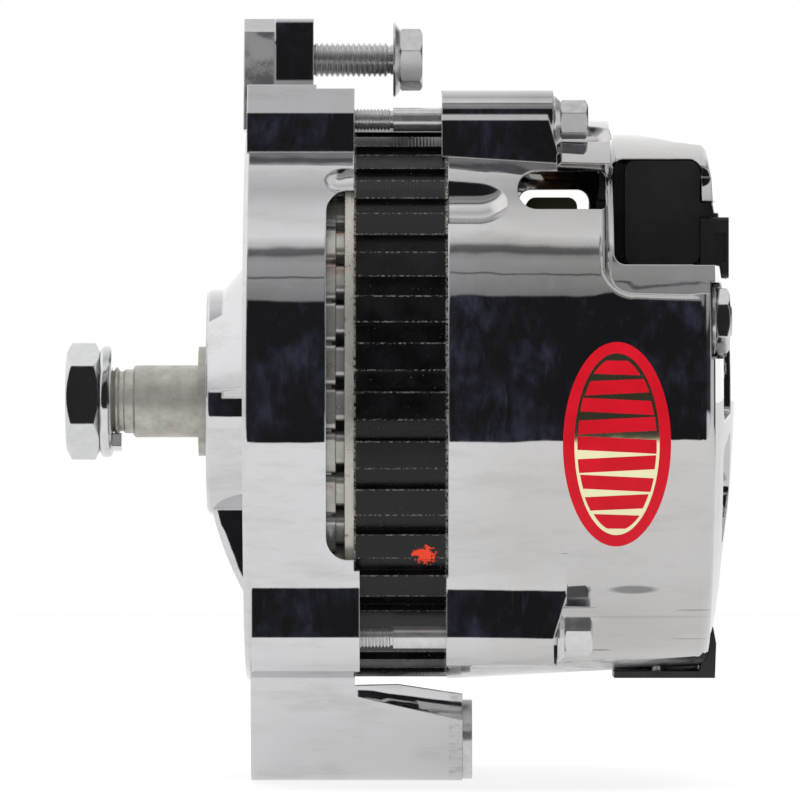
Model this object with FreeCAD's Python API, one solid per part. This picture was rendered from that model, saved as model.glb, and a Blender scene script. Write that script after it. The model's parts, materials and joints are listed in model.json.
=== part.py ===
import FreeCAD, Part
import math
import os
from FreeCAD import Vector

# Car alternator, 130 mm frame, internal fans, 17 mm shaft.  Millimetres.
# X runs along the shaft from the pulley end to the rear, Z is up (adjusting ear on top,
# pivot foot below) and the origin is on the shaft axis where the pulley's back face seats.
# Angles go round the shaft from +Z towards -Y, the side that carries the oval label.

# ---- driving dimensions -------------------------------------------------------------
SHAFT_R = 8.5
SHAFT_THREAD_R = 8.0
SHAFT_THREAD_PITCH = 1.5
SHAFT_NECK_R = 7.55
SHAFT_TIP_X = -30.6
THREAD_END_X = -17.4
SEAT_START_X = -15.4
RELIEF_X = (0.0, 0.5)
RELIEF_R = 8.2
REAR_SEAT_R = 7.5
SHAFT_REAR_X = 112.0
COLLAR_R = 12.9
COLLAR_END_X = 3.9

NUT_FLATS = 24.0
NUT_X = (-31.2, -23.2)
WASHER_X = (-23.2, -20.4)
WASHER_R = 13.2

HUB_FACE_X = 2.1
HUB_R = 26.6
FRONT_FACE_X = 11.35
STATOR_FRONT_X = 36.9
STATOR_REAR_X = 58.6
FRONT_R = 66.3
FRONT_BORE_R = 62.6
FRONT_PLATE = 4.0
VENT_X = (30.5, 46.0)

STATOR_R = 65.0
STATOR_LIP_R = 63.6
STATOR_BORE_R = 50.0
STATOR_CORE_X = (34.8, 60.6)
SLOTS = 36
SLOT_PITCH = 360.0 / SLOTS
LAND_CENTRE = 0.95
GROOVE_ANGLE = 4.5
GROOVE_DEPTH = 1.3
FRONT_BEND_X = 32.7
FRONT_TURNS_X = 24.5
REAR_BEND_X = 62.8
REAR_TURNS_X = 71.5

BOLT_CIRCLE_R = 70.0
BOLT_ANGLES = (20.0, 141.0, 260.0)
BOLT_SEATS_X = (83.2, 83.8, 84.6)
BOLT_THREAD_R = 2.5
BOLT_SHANK_R = 2.75
FRONT_BOSS_R = 8.2
FRONT_BOSS_X = (11.85, 13.3)
FRONT_BOSS_END_X = 38.2
FRONT_BOSS_TOP_Z = 73.0
FRONT_FLANK_TOP_Z = 67.2
REAR_BOSS_R = 6.9
SCALLOP_R = 7.0
SCALLOP_LENGTH = 8.5

EAR_Z = 80.7
EAR_R = 9.4
EAR_X = (10.8, 27.2)
EAR_STEP_X = 18.2
EAR_HOLE_R = 4.05
ADJUSTER_FLANGE_X = 45.9
ADJUSTER_LENGTH = 35.0

FOOT_Z = -79.8
FOOT_R = 9.8
FOOT_X = (12.4, 62.2)
FOOT_BORE_R = 5.1
FOOT_RING_END_X = 64.5

REAR_R = 65.5
REAR_END_R = 62.4
REAR_BORE_R = 61.8
REAR_EDGE_X = 116.7
REAR_RIM_X = 119.9
DOME_EDGE_R = 52.5
DOME_EDGE_X = 121.3
DOME_TOP_X = 126.4
DOME_WALL = 3.0
SHOULDER_X = (84.0, 96.4)
SHOULDER_R = 66.9
REAR_HUB_R = 21.0
REAR_HUB_X = 100.5

CHANNEL_R = 10.0
CHANNEL_Y = -51.0
CHANNEL_Z = 50.9
CHANNEL_END_X = 65.5

POCKET_X = (96.9, 117.6)
POCKET_FLOOR_Z = 31.5
POCKET_ROOF_Z = 56.4
POCKET_Y = (-80.0, 2.0)
BLOCK_X = (99.9, 117.4)
BLOCK_Y = (-28.0, -9.0)
BLOCK_Z = (31.9, 56.1)
RECESS_X = 95.2
RECESS_ANGLES = (28.5, 66.5)
RECESS_DEPTH = 3.0
RECESS_HOLLOW_R = 1.1
RECESS_BROW_R = 1.8
RIM_NOTCH_Z = (31.4, 46.5)
SOCKET_X = (117.5, 124.1)
SOCKET_Y = (-29.0, -7.0)
SOCKET_Z = (28.8, 42.9)
SOCKET_WALL = 1.4

FRONT_BEARING_X = (4.0, 18.0)
FRONT_BEARING_R = (8.5, 23.5)
RETAINER_ANGLES = (60.0, 180.0, 300.0)
RETAINER_CIRCLE_R = 25.2
RETAINER_PLATE = 1.5
REAR_BEARING_X = (101.5, 111.5)
REAR_BEARING_R = (7.5, 17.5)
BALL_PLAY = 0.03

ROTOR_X = (29.8, 65.4)
ROTOR_R = 49.55
CLAWS = 6
POLE_DISC = 9.0
FIELD_X = (39.6, 55.6)
FAN_BLADES = 10
FRONT_FAN_DISC_X = (28.5, 29.75)
FRONT_FAN_BLADE_X = (21.6, 28.6)
REAR_FAN_DISC_X = (65.45, 66.7)
REAR_FAN_BLADE_X = (66.6, 74.0)

SLIP_RINGS_X = ((78.5, 86.0), (88.5, 96.0))
SLIP_RING_R = 11.0
SLIP_SLEEVE_R = 9.2
BRUSH_HALF = (2.9, 3.2)
BRUSH_TOP_Z = 24.0
SPRING_TOP_Z = 33.0
HOLDER_TOP_Z = 36.0

NEGATIVE_SINK_X = (91.5, 95.5)
POSITIVE_SINK_X = (104.0, 108.0)
SINK_ANGLES = (112.0, 250.0)
NEGATIVE_DIODE_ANGLES = (148.0, 165.0, 212.0)
POSITIVE_DIODE_ANGLES = (130.0, 180.0, 230.0)
DIODE_CIRCLE_R = 40.0
DIODE_R = 6.3
DIODE_HOLE_R = 6.4
RECTIFIER_SCREW_ANGLES = (119.5, 181.0, 242.5)
RECTIFIER_SCREW_CIRCLE_R = 56.3

GUARD_HALF = 9.5
GUARD_PAD_HALF = 3.0
GUARD_SCREWS_Y = (-5.5, 5.5)
GUARD_Z = (-65.1, -63.55)
GUARD_SCREW_X = 108.0

STUD_Y = -43.0
STUD_Z = 18.6
STUD_R = 4.0
STUD_SEAT_X = 118.9
RADIAL_GAP = 0.05

ORIGIN = Vector(0, 0, 0)
X_AXIS = Vector(1, 0, 0)
Y_AXIS = Vector(0, 1, 0)
Z_AXIS = Vector(0, 0, 1)


# ---- small builders -----------------------------------------------------------------
def around(angle, radius, x=0.0):
    """A point at an angle round the shaft."""
    turn = math.radians(angle)
    return Vector(x, -radius * math.sin(turn), radius * math.cos(turn))


def rod(x0, x1, radius, y=0.0, z=0.0):
    return Part.makeCylinder(radius, x1 - x0, Vector(x0, y, z), X_AXIS)


def tube(x0, x1, outer, inner, y=0.0, z=0.0):
    return rod(x0, x1, outer, y, z).cut(rod(x0 - 1, x1 + 1, inner, y, z))


def rod_at(x0, x1, radius, angle, circle_r):
    """A rod beside the shaft, at an angle round it and a distance from its axis."""
    centre = around(angle, circle_r)
    return rod(x0, x1, radius, centre.y, centre.z)


def block(x, y, z):
    size = (x[1] - x[0], y[1] - y[0], z[1] - z[0])
    return Part.makeBox(size[0], size[1], size[2], Vector(x[0], y[0], z[0]))


def spun(profile, start=0.0, sweep=360.0):
    """Turn an outline of (x, radius) points about the shaft axis."""
    points = [Vector(x, 0, r) for x, r in profile]
    face = Part.Face(Part.makePolygon(points + points[:1]))
    return turned(face.revolve(ORIGIN, X_AXIS, sweep), start)


def turned(shape, angle):
    copy = shape.copy()
    copy.rotate(ORIGIN, X_AXIS, angle)
    return copy


def moved(shape, x=0.0, y=0.0, z=0.0):
    copy = shape.copy()
    copy.translate(Vector(x, y, z))
    return copy


def set_at(shape, angle, circle_r):
    """Carry a shape from the shaft's axis to an angle and a distance from it."""
    centre = around(angle, circle_r)
    return moved(shape, y=centre.y, z=centre.z)


def side_prism(outline, y0, y1):
    """An outline of (x, z) points, as thick as y0 to y1."""
    points = [Vector(x, y0, z) for x, z in outline]
    face = Part.Face(Part.makePolygon(points + points[:1]))
    return face.extrude(Vector(0, y1 - y0, 0))


def end_prism(outline, x0, x1):
    """An outline of (y, z) points, as long as x0 to x1."""
    points = [Vector(x0, y, z) for y, z in outline]
    face = Part.Face(Part.makePolygon(points + points[:1]))
    return face.extrude(Vector(x1 - x0, 0, 0))


def sector(x0, x1, r0, r1, start, end, corner=0.0):
    """A piece of a ring between two angles, with its four long edges rounded."""
    solid = spun([(x0, r0), (x0, r1), (x1, r1), (x1, r0)], start, end - start)
    if corner:
        long_edges = [edge for edge in solid.Edges if abs(along_x(edge)) > (x1 - x0) * 0.99]
        solid = solid.makeFillet(corner, long_edges)
    return solid


def along_x(edge):
    return edge.Vertexes[-1].X - edge.Vertexes[0].X


def edges_along(solid, axis):
    """Straight edges that run along one of the axes."""
    found = []
    for edge in solid.Edges:
        if isinstance(edge.Curve, Part.Line) and abs(edge.Curve.Direction.dot(axis)) > 0.999:
            found.append(edge)
    return found


def soft_block(x, y, z, axis, radius):
    solid = block(x, y, z)
    return solid.makeFillet(radius, edges_along(solid, axis))


def hexagon(x0, x1, flats, y=0.0, z=0.0, turn=0.0, chamfer=0.9):
    """A hexagonal head or nut along X, both ends turned to a cone at the corners."""
    corner = flats / math.sqrt(3.0)
    points = []
    for step in range(6):
        angle = math.radians(turn + 60.0 * step)
        points.append((y + corner * math.sin(angle), z + corner * math.cos(angle)))
    prism = end_prism(points, x0, x1)
    inner = corner - 1.75 * chamfer
    profile = [(x0, 0), (x0, inner), (x0 + chamfer, corner), (x1 - chamfer, corner),
               (x1, inner), (x1, 0)]
    return prism.common(moved(spun(profile), y=y, z=z))


def threaded(x0, x1, radius, pitch, depth):
    """A screw thread drawn as rings of the thread's pitch and depth."""
    count = int((x1 - x0) / pitch)
    profile = [(x0, 0), (x0, radius - depth)]
    for turn in range(count):
        left = x0 + turn * pitch
        profile.append((left + pitch * 0.38, radius))
        profile.append((left + pitch * 0.62, radius))
        profile.append((left + pitch, radius - depth))
    profile.append((x1, radius - depth))
    profile.append((x1, 0))
    return spun(remove_repeats(profile))


def remove_repeats(points):
    kept = [points[0]]
    for point in points[1:]:
        if math.dist(point, kept[-1]) > 0.01:
            kept.append(point)
    return kept


def fused(shapes):
    result = shapes[0]
    if len(shapes) > 1:
        result = shapes[0].multiFuse(shapes[1:])
    return result.removeSplitter()


def rear_radius(x):
    """The rear drum's outer radius, with its casting draft."""
    share = (x - STATOR_REAR_X) / (REAR_EDGE_X - STATOR_REAR_X)
    return REAR_R + (REAR_END_R - REAR_R) * share


# ---- front frame --------------------------------------------------------------------
def front_shell():
    return spun([
        (HUB_FACE_X, COLLAR_R + 0.6), (HUB_FACE_X, HUB_R - 0.7), (HUB_FACE_X + 0.7, HUB_R),
        (FRONT_FACE_X, HUB_R), (FRONT_FACE_X, FRONT_R - 1.0), (FRONT_FACE_X + 1.0, FRONT_R),
        (STATOR_FRONT_X, FRONT_R), (STATOR_FRONT_X, STATOR_LIP_R + 0.02),
        (STATOR_CORE_X[0], STATOR_LIP_R + 0.02), (STATOR_CORE_X[0], FRONT_BORE_R),
        (FRONT_FACE_X + FRONT_PLATE + 1.2, FRONT_BORE_R),
        (FRONT_FACE_X + FRONT_PLATE, FRONT_BORE_R - 1.2),
        (FRONT_FACE_X + FRONT_PLATE, HUB_R + 3.0), (FRONT_BEARING_X[1] - 0.4, HUB_R + 1.0),
        (FRONT_BEARING_X[1], HUB_R + 1.0), (FRONT_BEARING_X[1], FRONT_BEARING_R[1]),
        (FRONT_BEARING_X[0], FRONT_BEARING_R[1]), (FRONT_BEARING_X[0], COLLAR_R + 0.6)])


def hub_flare():
    """The cone that stiffens the upper half of the hub; it starts further forward on the near side."""
    foot_x = FRONT_FACE_X + 0.2
    top = spun([(HUB_FACE_X, HUB_R - 2), (HUB_FACE_X, HUB_R - 0.4), (5.6, HUB_R - 0.3),
                (foot_x, 33.4), (foot_x, HUB_R - 2)], -38.0, 126.0)
    near = spun([(HUB_FACE_X + 0.5, HUB_R - 2), (HUB_FACE_X + 0.5, HUB_R - 0.1),
                 (foot_x, 33.4), (foot_x, HUB_R - 2)], 46.0, 39.0)
    return top.fuse(near)


def hub_rib(angle):
    """An arched rib from the hub's nose down to the front plate."""
    inner = Vector(HUB_FACE_X + 0.3, 0, 18.0)
    nose = Vector(HUB_FACE_X + 0.3, 0, 22.0)
    middle = Vector(5.6, 0, 33.6)
    outer = Vector(FRONT_FACE_X + 0.3, 0, 46.8)
    base = Vector(FRONT_FACE_X + 0.3, 0, 18.0)
    outline = Part.Wire([Part.LineSegment(inner, nose).toShape(),
                         Part.Arc(nose, middle, outer).toShape(),
                         Part.LineSegment(outer, base).toShape(),
                         Part.LineSegment(base, inner).toShape()])
    half_width = 8.0
    solid = moved(Part.Face(outline), y=-half_width).extrude(Vector(0, 2 * half_width, 0))
    crown = [edge for edge in solid.Edges if isinstance(edge.Curve, Part.Circle)]
    return turned(solid.makeFillet(1.7, crown), angle)


def boss(angle, radius, x0, x1):
    """A bolt boss that stands out of a frame on parallel flanks."""
    flank = block((x0, x1), (-radius, radius), (BOLT_CIRCLE_R - 10.5, BOLT_CIRCLE_R))
    return turned(rod(x0, x1, radius, z=BOLT_CIRCLE_R).fuse(flank), angle)


def near_flank(angle, radius, body_r, fillet_r, x0, x1):
    """Upright flank on a boss's near side, with a hollow fillet into the drum below or above."""
    centre = around(angle, BOLT_CIRCLE_R)
    side = 1.0 if centre.z > 0 else -1.0
    wall_y = centre.y - radius
    drum_z = side * math.sqrt(body_r ** 2 - wall_y ** 2)
    low, high = ordered(drum_z - side * 9.0, centre.z)
    flank = block((x0, x1), (wall_y, wall_y + radius), (low, high))
    hollow_y = wall_y - fillet_r
    hollow_z = side * math.sqrt((body_r + fillet_r) ** 2 - hollow_y ** 2)
    share = body_r / (body_r + fillet_r)
    web = end_prism([(hollow_y, hollow_z), (wall_y, hollow_z), (wall_y + 4.0, drum_z - side * 4.0),
                     (hollow_y * share, hollow_z * share)], x0, x1)
    return flank.fuse(web.cut(rod(x0 - 1, x1 + 1, fillet_r, hollow_y, hollow_z)))


def upper_flank(outline, y_near, ledge):
    """Upright near flank of an upper boss: a side outline whose top slopes up to the boss."""
    (edge_y, edge_z), (top_y, top_z) = ledge
    plate = side_prism(outline, y_near, around(BOLT_ANGLES[0], BOLT_CIRCLE_R).y)
    above = end_prism([(edge_y - 9.0, edge_z - 7.0), (edge_y, edge_z), (top_y, top_z),
                       (top_y, 90.0), (edge_y - 9.0, 90.0)], 0.0, 100.0)
    return plate.cut(above)


def boss_lean():
    """Slope that leans the lower rear boss's near end forward, from its top to its foot."""
    return side_prism([(85.9, -45.2), (82.9, -55.2), (83.3, -75.0), (95.0, -75.0), (95.0, -45.2)],
                      -60.0, -46.0)


def ear():
    """The adjusting ear: a tapered front lug and a square rear lug round one hole."""
    front = end_prism([(-19.0, 63.6), (-8.2, 87.0), (-5.6, 90.1), (5.6, 90.1), (8.2, 87.0),
                       (19.0, 63.6)], EAR_X[0], EAR_STEP_X)
    rear = soft_block((EAR_STEP_X, EAR_X[1]), (-EAR_R, EAR_R), (60.0, EAR_Z + EAR_R), X_AXIS, 1.5)
    gusset = end_prism([(-17.0, 62.0), (-EAR_R + 0.5, 76.5), (EAR_R - 0.5, 76.5), (17.0, 62.0)],
                       EAR_STEP_X, EAR_X[1])
    return front.fuse([rear, gusset])


def foot():
    """The pivot foot: a long tapered barrel under the stator, scooped along its near top edge."""
    barrel = rod(FOOT_X[0], FOOT_X[1], FOOT_R, z=FOOT_Z)
    web = end_prism([(-14.3, -62.0), (-9.53, -82.07), (9.53, -82.07), (14.3, -62.0)],
                    FOOT_X[0], FOOT_X[1])
    top_cut = side_prism([(STATOR_FRONT_X, -50.0), (STATOR_FRONT_X, -66.6),
                          (47.0, -66.4), (FOOT_X[1] + 1.0, -68.9), (FOOT_X[1] + 1.0, -50.0)],
                         -30.0, 30.0)
    scoop = Part.makeCone(5.0, 7.2, 28.0, Vector(36.5, -17.4, -67.7), Vector(1.0, 0.015, -0.117))
    scoop = scoop.common(block((STATOR_FRONT_X + 0.6, 90.0), (-40.0, 10.0), (-95.0, -40.0)))
    return barrel.fuse(web.cut([top_cut, scoop]))


def near_vent():
    """The long air outlet on the near side, open towards the stator."""
    return soft_block(VENT_X, (-80.0, -30.0), (-36.4, 48.7), Y_AXIS, 5.0)


def front_windows():
    angles = ((97, 166), (195, 219), (246, 270), (298, 319), (-31, -6), (6, 38), (50, 84))
    return [sector(0.0, 16.5, 36.0, 57.5, start, end, 3.0) for start, end in angles]


def front_boss_slope():
    """Slope that takes the near shoulder off the upper front boss."""
    return end_prism([(-24.5, 74.3), (-32.3, 66.9), (-45.0, 66.9), (-45.0, 80.0), (-24.5, 80.0)],
                     FRONT_FACE_X, STATOR_FRONT_X + 1.0)


def front_frame():
    upper_y = around(BOLT_ANGLES[0], BOLT_CIRCLE_R).y
    flank = block((FRONT_BOSS_X[0], STATOR_FRONT_X), (upper_y - FRONT_BOSS_R, upper_y),
                  (50.0, FRONT_FLANK_TOP_Z))
    solid = fused([front_shell(), hub_flare(), ear(), foot()]
                  + [hub_rib(angle) for angle in (180.0, 232.0, 284.0)]
                  + [boss(angle, FRONT_BOSS_R, FRONT_BOSS_X[0], STATOR_FRONT_X)
                     for angle in (BOLT_ANGLES[0], BOLT_ANGLES[2])]
                  + [boss(BOLT_ANGLES[1], FRONT_BOSS_R, FRONT_BOSS_X[1], FRONT_BOSS_END_X),
                     near_flank(BOLT_ANGLES[1], FRONT_BOSS_R, FRONT_R, 7.0,
                                FRONT_BOSS_X[1], FRONT_BOSS_END_X), flank])
    tools = [front_boss_slope(), Part.makeSphere(8.5, around(39.7, 73.0, 35.0)),
             block((EAR_X[1] + 0.8, STATOR_FRONT_X + 1.0), (-40.0, -8.0),
                   (FRONT_BOSS_TOP_Z, 80.0)),
             rod(STATOR_FRONT_X, 50.0, STATOR_R + 0.3),
             rod(0, STATOR_FRONT_X - 2.1, FRONT_BORE_R - 0.05)
             .cut(rod(-1, FRONT_FACE_X + FRONT_PLATE + 1.2, FRONT_BORE_R + 1)),
             rod(STATOR_CORE_X[0], 40.0, STATOR_LIP_R + 0.02),
             rod(FRONT_BEARING_X[0], 30.0, FRONT_BEARING_R[1]),
             rod(0.0, 10.0, COLLAR_R + 0.6),
             rod(EAR_X[0] - 1, EAR_X[1] + 1, EAR_HOLE_R, z=EAR_Z),
             rod(0, 80.0, FOOT_BORE_R, z=FOOT_Z),
             rod(50.0, 80.0, 7.0, z=FOOT_Z),
             near_vent(),
             sector(VENT_X[0], VENT_X[1], 58.0, 75.0, 284, 337, 4.0),
             sector(VENT_X[0], VENT_X[1], 58.0, 75.0, 201, 240, 4.0)]
    for angle in BOLT_ANGLES:
        tools.append(rod_at(20.0, 60.0, BOLT_THREAD_R + RADIAL_GAP, angle, BOLT_CIRCLE_R))
    for angle in RETAINER_ANGLES:
        tools.append(rod_at(9.0, 30.0, 1.6, angle, RETAINER_CIRCLE_R))
    return solid.cut(tools + front_windows()).removeSplitter()


def foot_bushing():
    """Steel sleeve pressed into the foot, with the ring that meets the bracket."""
    ring = tube(FOOT_X[1], FOOT_RING_END_X, EAR_R, FOOT_BORE_R, z=FOOT_Z)
    sleeve = tube(50.0, FOOT_X[1], 7.0, FOOT_BORE_R, z=FOOT_Z)
    return ring.fuse(sleeve).removeSplitter()


# ---- bearings -----------------------------------------------------------------------
def bearing(x, radii, ball_r, balls):
    """Outer ring, inner ring, cage and balls of a deep-groove bearing."""
    middle = (x[0] + x[1]) / 2.0
    pitch_r = (radii[0] + radii[1]) / 2.0
    groove = Part.makeTorus(pitch_r, ball_r + BALL_PLAY, Vector(middle, 0, 0), X_AXIS)
    land = ball_r * 0.62
    outer = tube(x[0], x[1], radii[1], pitch_r + land).cut(groove)
    inner = tube(x[0], x[1], pitch_r - land, radii[0]).cut(groove)
    ball = Part.makeSphere(ball_r, Vector(middle, 0, pitch_r))
    placed = [turned(ball, 360.0 / balls * step) for step in range(balls)]
    strip = ball_r * 0.3
    cage = tube(middle - ball_r * 1.2, middle + ball_r * 1.2, pitch_r + strip, pitch_r - strip)
    pocket = Part.makeSphere(ball_r + BALL_PLAY, Vector(middle, 0, pitch_r))
    cage = cage.cut([turned(pocket, 360.0 / balls * step) for step in range(balls)])
    return outer, inner, cage, Part.makeCompound(placed)


def bearing_retainer_plate():
    front_x = FRONT_BEARING_X[1]
    rear_x = front_x + RETAINER_PLATE
    lugs = [rod_at(front_x, rear_x, 4.2, angle, RETAINER_CIRCLE_R) for angle in RETAINER_ANGLES]
    holes = [rod_at(0, 40, 1.7, angle, RETAINER_CIRCLE_R) for angle in RETAINER_ANGLES]
    return tube(front_x, rear_x, HUB_R, 14.5).fuse(lugs).cut(holes).removeSplitter()


def retainer_screws():
    seat = FRONT_BEARING_X[1] + RETAINER_PLATE
    head = spun([(seat, 0), (seat, 3.1), (seat + 0.9, 2.8), (seat + 1.7, 1.6), (seat + 1.7, 0)])
    slot = block((seat + 1.0, seat + 3), (-0.45, 0.45), (-2.2, 2.2))
    screw = rod(9.6, seat, 1.55).fuse(head).cut([slot, turned(slot, 90)])
    return Part.makeCompound([set_at(screw, angle, RETAINER_CIRCLE_R) for angle in RETAINER_ANGLES])


# ---- stator -------------------------------------------------------------------------
def stator_core():
    """Lamination stack: 36 lands outside, 36 winding slots inside, bare lips at both ends."""
    stack = spun([(STATOR_CORE_X[0], STATOR_BORE_R), (STATOR_CORE_X[0], STATOR_LIP_R),
                  (STATOR_FRONT_X, STATOR_LIP_R), (STATOR_FRONT_X, STATOR_R),
                  (STATOR_REAR_X, STATOR_R), (STATOR_REAR_X, STATOR_LIP_R - 1.9),
                  (STATOR_CORE_X[1], STATOR_LIP_R - 1.9), (STATOR_CORE_X[1], STATOR_BORE_R)])
    tools = []
    first_groove = LAND_CENTRE + SLOT_PITCH / 2.0
    half = math.radians(GROOVE_ANGLE / 2.0)
    top = (STATOR_R + 1.0) * math.sin(half)
    bottom = top - 0.5
    floor_r = STATOR_R - GROOVE_DEPTH
    groove = end_prism([(-top, STATOR_R + 2), (top, STATOR_R + 2), (bottom, floor_r),
                        (-bottom, floor_r - 0.5)], STATOR_FRONT_X - 0.01, STATOR_REAR_X + 0.01)
    slot = block((STATOR_CORE_X[0] - 1, STATOR_CORE_X[1] + 1), (-2.3, 2.3), (53.0, 61.0))
    mouth = block((STATOR_CORE_X[0] - 1, STATOR_CORE_X[1] + 1), (-1.1, 1.1), (48.0, 53.5))
    for step in range(SLOTS):
        tools.append(turned(groove, first_groove + SLOT_PITCH * step))
        tools.append(turned(slot.fuse(mouth), LAND_CENTRE + SLOT_PITCH * step))
    return stack.cut(tools)


def end_turns(x_core, x_bend, x_end):
    """Winding heads: one bar out of each slot, stepping sideways into the next."""
    toward_end = 1.0 if x_end > x_core else -1.0
    bars = []
    for step in range(SLOTS):
        angle = LAND_CENTRE + SLOT_PITCH * step
        straight = soft_block(ordered(x_core, x_bend + 0.2 * toward_end), (-3.6, 3.6),
                              (53.5, 59.0), X_AXIS, 1.6)
        head = soft_block(ordered(x_bend, x_end), (-4.7, 4.7), (53.5, 59.4), X_AXIS, 1.4)
        bars.append(turned(straight, angle))
        bars.append(turned(head, angle + 0.8))
    middle = sorted((x_bend + 0.9 * toward_end, x_end - 0.9 * toward_end))
    core = tube(middle[0], middle[1], 57.6, 52.2)
    return fused([core] + bars)


def ordered(a, b):
    return (min(a, b), max(a, b))


def slot_conductors():
    """The straight copper in the slots, between the two winding heads."""
    bars = []
    for step in range(SLOTS):
        bar = block((STATOR_CORE_X[0] + 0.05, STATOR_CORE_X[1] - 0.05), (-1.9, 1.9), (53.6, 60.6))
        bars.append(turned(bar, LAND_CENTRE + SLOT_PITCH * step))
    return Part.makeCompound(bars)


def phase_leads():
    """Three insulated leads from the rear winding head to the terminal strip."""
    leads = []
    for angle in (196.0, 206.0, 216.0):
        start = around(angle, 56.0, REAR_TURNS_X + 0.1)
        leads.append(Part.makeCylinder(1.3, 14.2, start, X_AXIS))
    return Part.makeCompound(leads)


# ---- rear frame ---------------------------------------------------------------------
def dome_face(offset):
    """Half outline of the rear dome, moved forward by an offset."""
    top = Vector(DOME_TOP_X - offset, 0, 0)
    middle = Vector(DOME_TOP_X - 1.5 - offset, 0, DOME_EDGE_R * 0.45)
    edge = Vector(DOME_EDGE_X - offset, 0, DOME_EDGE_R)
    return Part.Arc(top, middle, edge).toShape(), top, edge


def rear_shell():
    outer_arc, outer_top, outer_edge = dome_face(0.0)
    inner_arc, inner_top, inner_edge = dome_face(DOME_WALL)
    rim = [outer_edge, Vector(REAR_RIM_X, 0, REAR_END_R - 2.4),
           Vector(REAR_EDGE_X, 0, REAR_END_R), Vector(STATOR_REAR_X, 0, REAR_R),
           Vector(STATOR_REAR_X, 0, REAR_BORE_R), Vector(REAR_EDGE_X - 2.5, 0, REAR_END_R - 3.6),
           inner_edge]
    edges = [outer_arc, inner_arc, Part.LineSegment(inner_top, outer_top).toShape()]
    for start, end in zip(rim[:-1], rim[1:]):
        if start.sub(Vector(REAR_RIM_X, 0, REAR_END_R - 2.4)).Length < 0.01:
            middle = Vector(REAR_RIM_X - 0.8, 0, REAR_END_R - 0.7)
            edges.append(Part.Arc(start, middle, end).toShape())
        else:
            edges.append(Part.LineSegment(start, end).toShape())
    wire = Part.Wire(Part.__sortEdges__(edges))
    return Part.Face(wire).revolve(ORIGIN, X_AXIS, 360.0)


def shoulder():
    """Raised band on top of the drum, behind the upper bolt head."""
    return spun([(SHOULDER_X[0], 60.0), (SHOULDER_X[0], SHOULDER_R - 1.0),
                 (SHOULDER_X[0] + 1.0, SHOULDER_R), (SHOULDER_X[1], SHOULDER_R - 0.4),
                 (SHOULDER_X[1] + 3.0, 60.0)], -20.0, 54.0)


def connector_roof():
    """Solid metal over the connector pocket, inside the drum's outline."""
    envelope = spun([(95.0, 0), (95.0, rear_radius(95.0) - 0.3),
                     (REAR_EDGE_X, REAR_END_R - 0.3), (REAR_RIM_X - 0.2, REAR_END_R - 3.0),
                     (REAR_RIM_X - 0.2, 0)])
    return envelope.common(block((95.0, 121.0), (-40.0, 30.0), (54.5, 70.0)))


def roof_cut():
    """Slope that lowers the top of the drum towards the rear."""
    return side_prism([(96.4, 66.4), (100.9, 63.8), (105.7, 62.2), (112.0, 60.8), (118.2, 60.0),
                       (119.1, 58.6), (121.5, 44.4), (140.0, 44.4), (140.0, 90.0), (96.4, 90.0)],
                      -40.0, 60.0)


def pocket_prism():
    """The opening in the drum's near side that shows the regulator."""
    return soft_block(POCKET_X, POCKET_Y, (POCKET_FLOOR_Z, POCKET_ROOF_Z), Y_AXIS, 2.6)


def middle_of(edge):
    return edge.valueAt((edge.FirstParameter + edge.LastParameter) / 2.0)


def pocket_recess():
    """Border set into the drum's skin round the pocket, its inner corners hollow."""
    outside_r = 72.0
    last_x = REAR_RIM_X + 2.0
    start, end = RECESS_ANGLES
    step = spun([(RECESS_X, rear_radius(RECESS_X) - RECESS_DEPTH), (RECESS_X, outside_r),
                 (last_x, outside_r), (last_x, rear_radius(last_x) - RECESS_DEPTH)],
                start, end - start)
    corner = Part.Vertex(around(end, rear_radius(RECESS_X), RECESS_X))
    radial = [edge for edge in step.Edges
              if edge.distToShape(corner)[0] < 0.01 and abs(along_x(edge)) < 0.01
              and isinstance(edge.Curve, Part.Line)]
    step = step.makeFillet(6.0, radial)
    hollow = []
    for edge in step.Edges:
        middle = middle_of(edge)
        on_floor = abs(math.hypot(middle.y, middle.z) - rear_radius(middle.x) + RECESS_DEPTH) < 0.05
        angle = math.degrees(math.atan2(-middle.y, middle.z))
        if on_floor and middle.x < last_x - 0.1 and angle > start + 0.1:
            hollow.append(edge)
    return step.makeFillet(RECESS_HOLLOW_R, hollow)


def recess_tool():
    """All that the recess, the pocket and their rounded edges take off the drum."""
    first_x = 88.0
    drum = spun([(first_x, 0.0), (first_x, rear_radius(first_x)), (REAR_EDGE_X, REAR_END_R),
                 (REAR_RIM_X + 1.0, REAR_END_R + 1.1), (REAR_RIM_X + 1.0, 0.0)])
    step = pocket_recess()
    shaped = drum.cut(step)
    brow = []
    for edge in shaped.Edges:
        middle = middle_of(edge)
        on_skin = abs(math.hypot(middle.y, middle.z) - rear_radius(middle.x)) < 0.05
        if on_skin and first_x + 1.0 < middle.x < REAR_EDGE_X - 0.1:
            brow.append(edge)
    return drum.cut(shaped.makeFillet(RECESS_BROW_R, brow).cut(pocket_prism()))


def side_window(side):
    """An air window through the drum's wall; side is -1 for near, +1 for far."""
    if side > 0:
        return soft_block((76.0, 92.9), (20.0, 80.0), (41.4, 50.8), Y_AXIS, 3.0)
    square_end = soft_block((85.0, 95.2), (-80.0, -20.0), (44.4, 53.4), Y_AXIS, 1.3)
    round_end = soft_block((74.7, 92.0), (-80.0, -20.0), (44.4, 53.4), Y_AXIS, 4.45)
    return square_end.fuse(round_end)


def dome_windows():
    angles = ((62, 96), (104, 138), (146, 180), (188, 222), (230, 264), (272, 306), (314, 345))
    return [sector(110.0, 130.0, 27.0, 46.0, start, end, 3.0) for start, end in angles]


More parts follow.
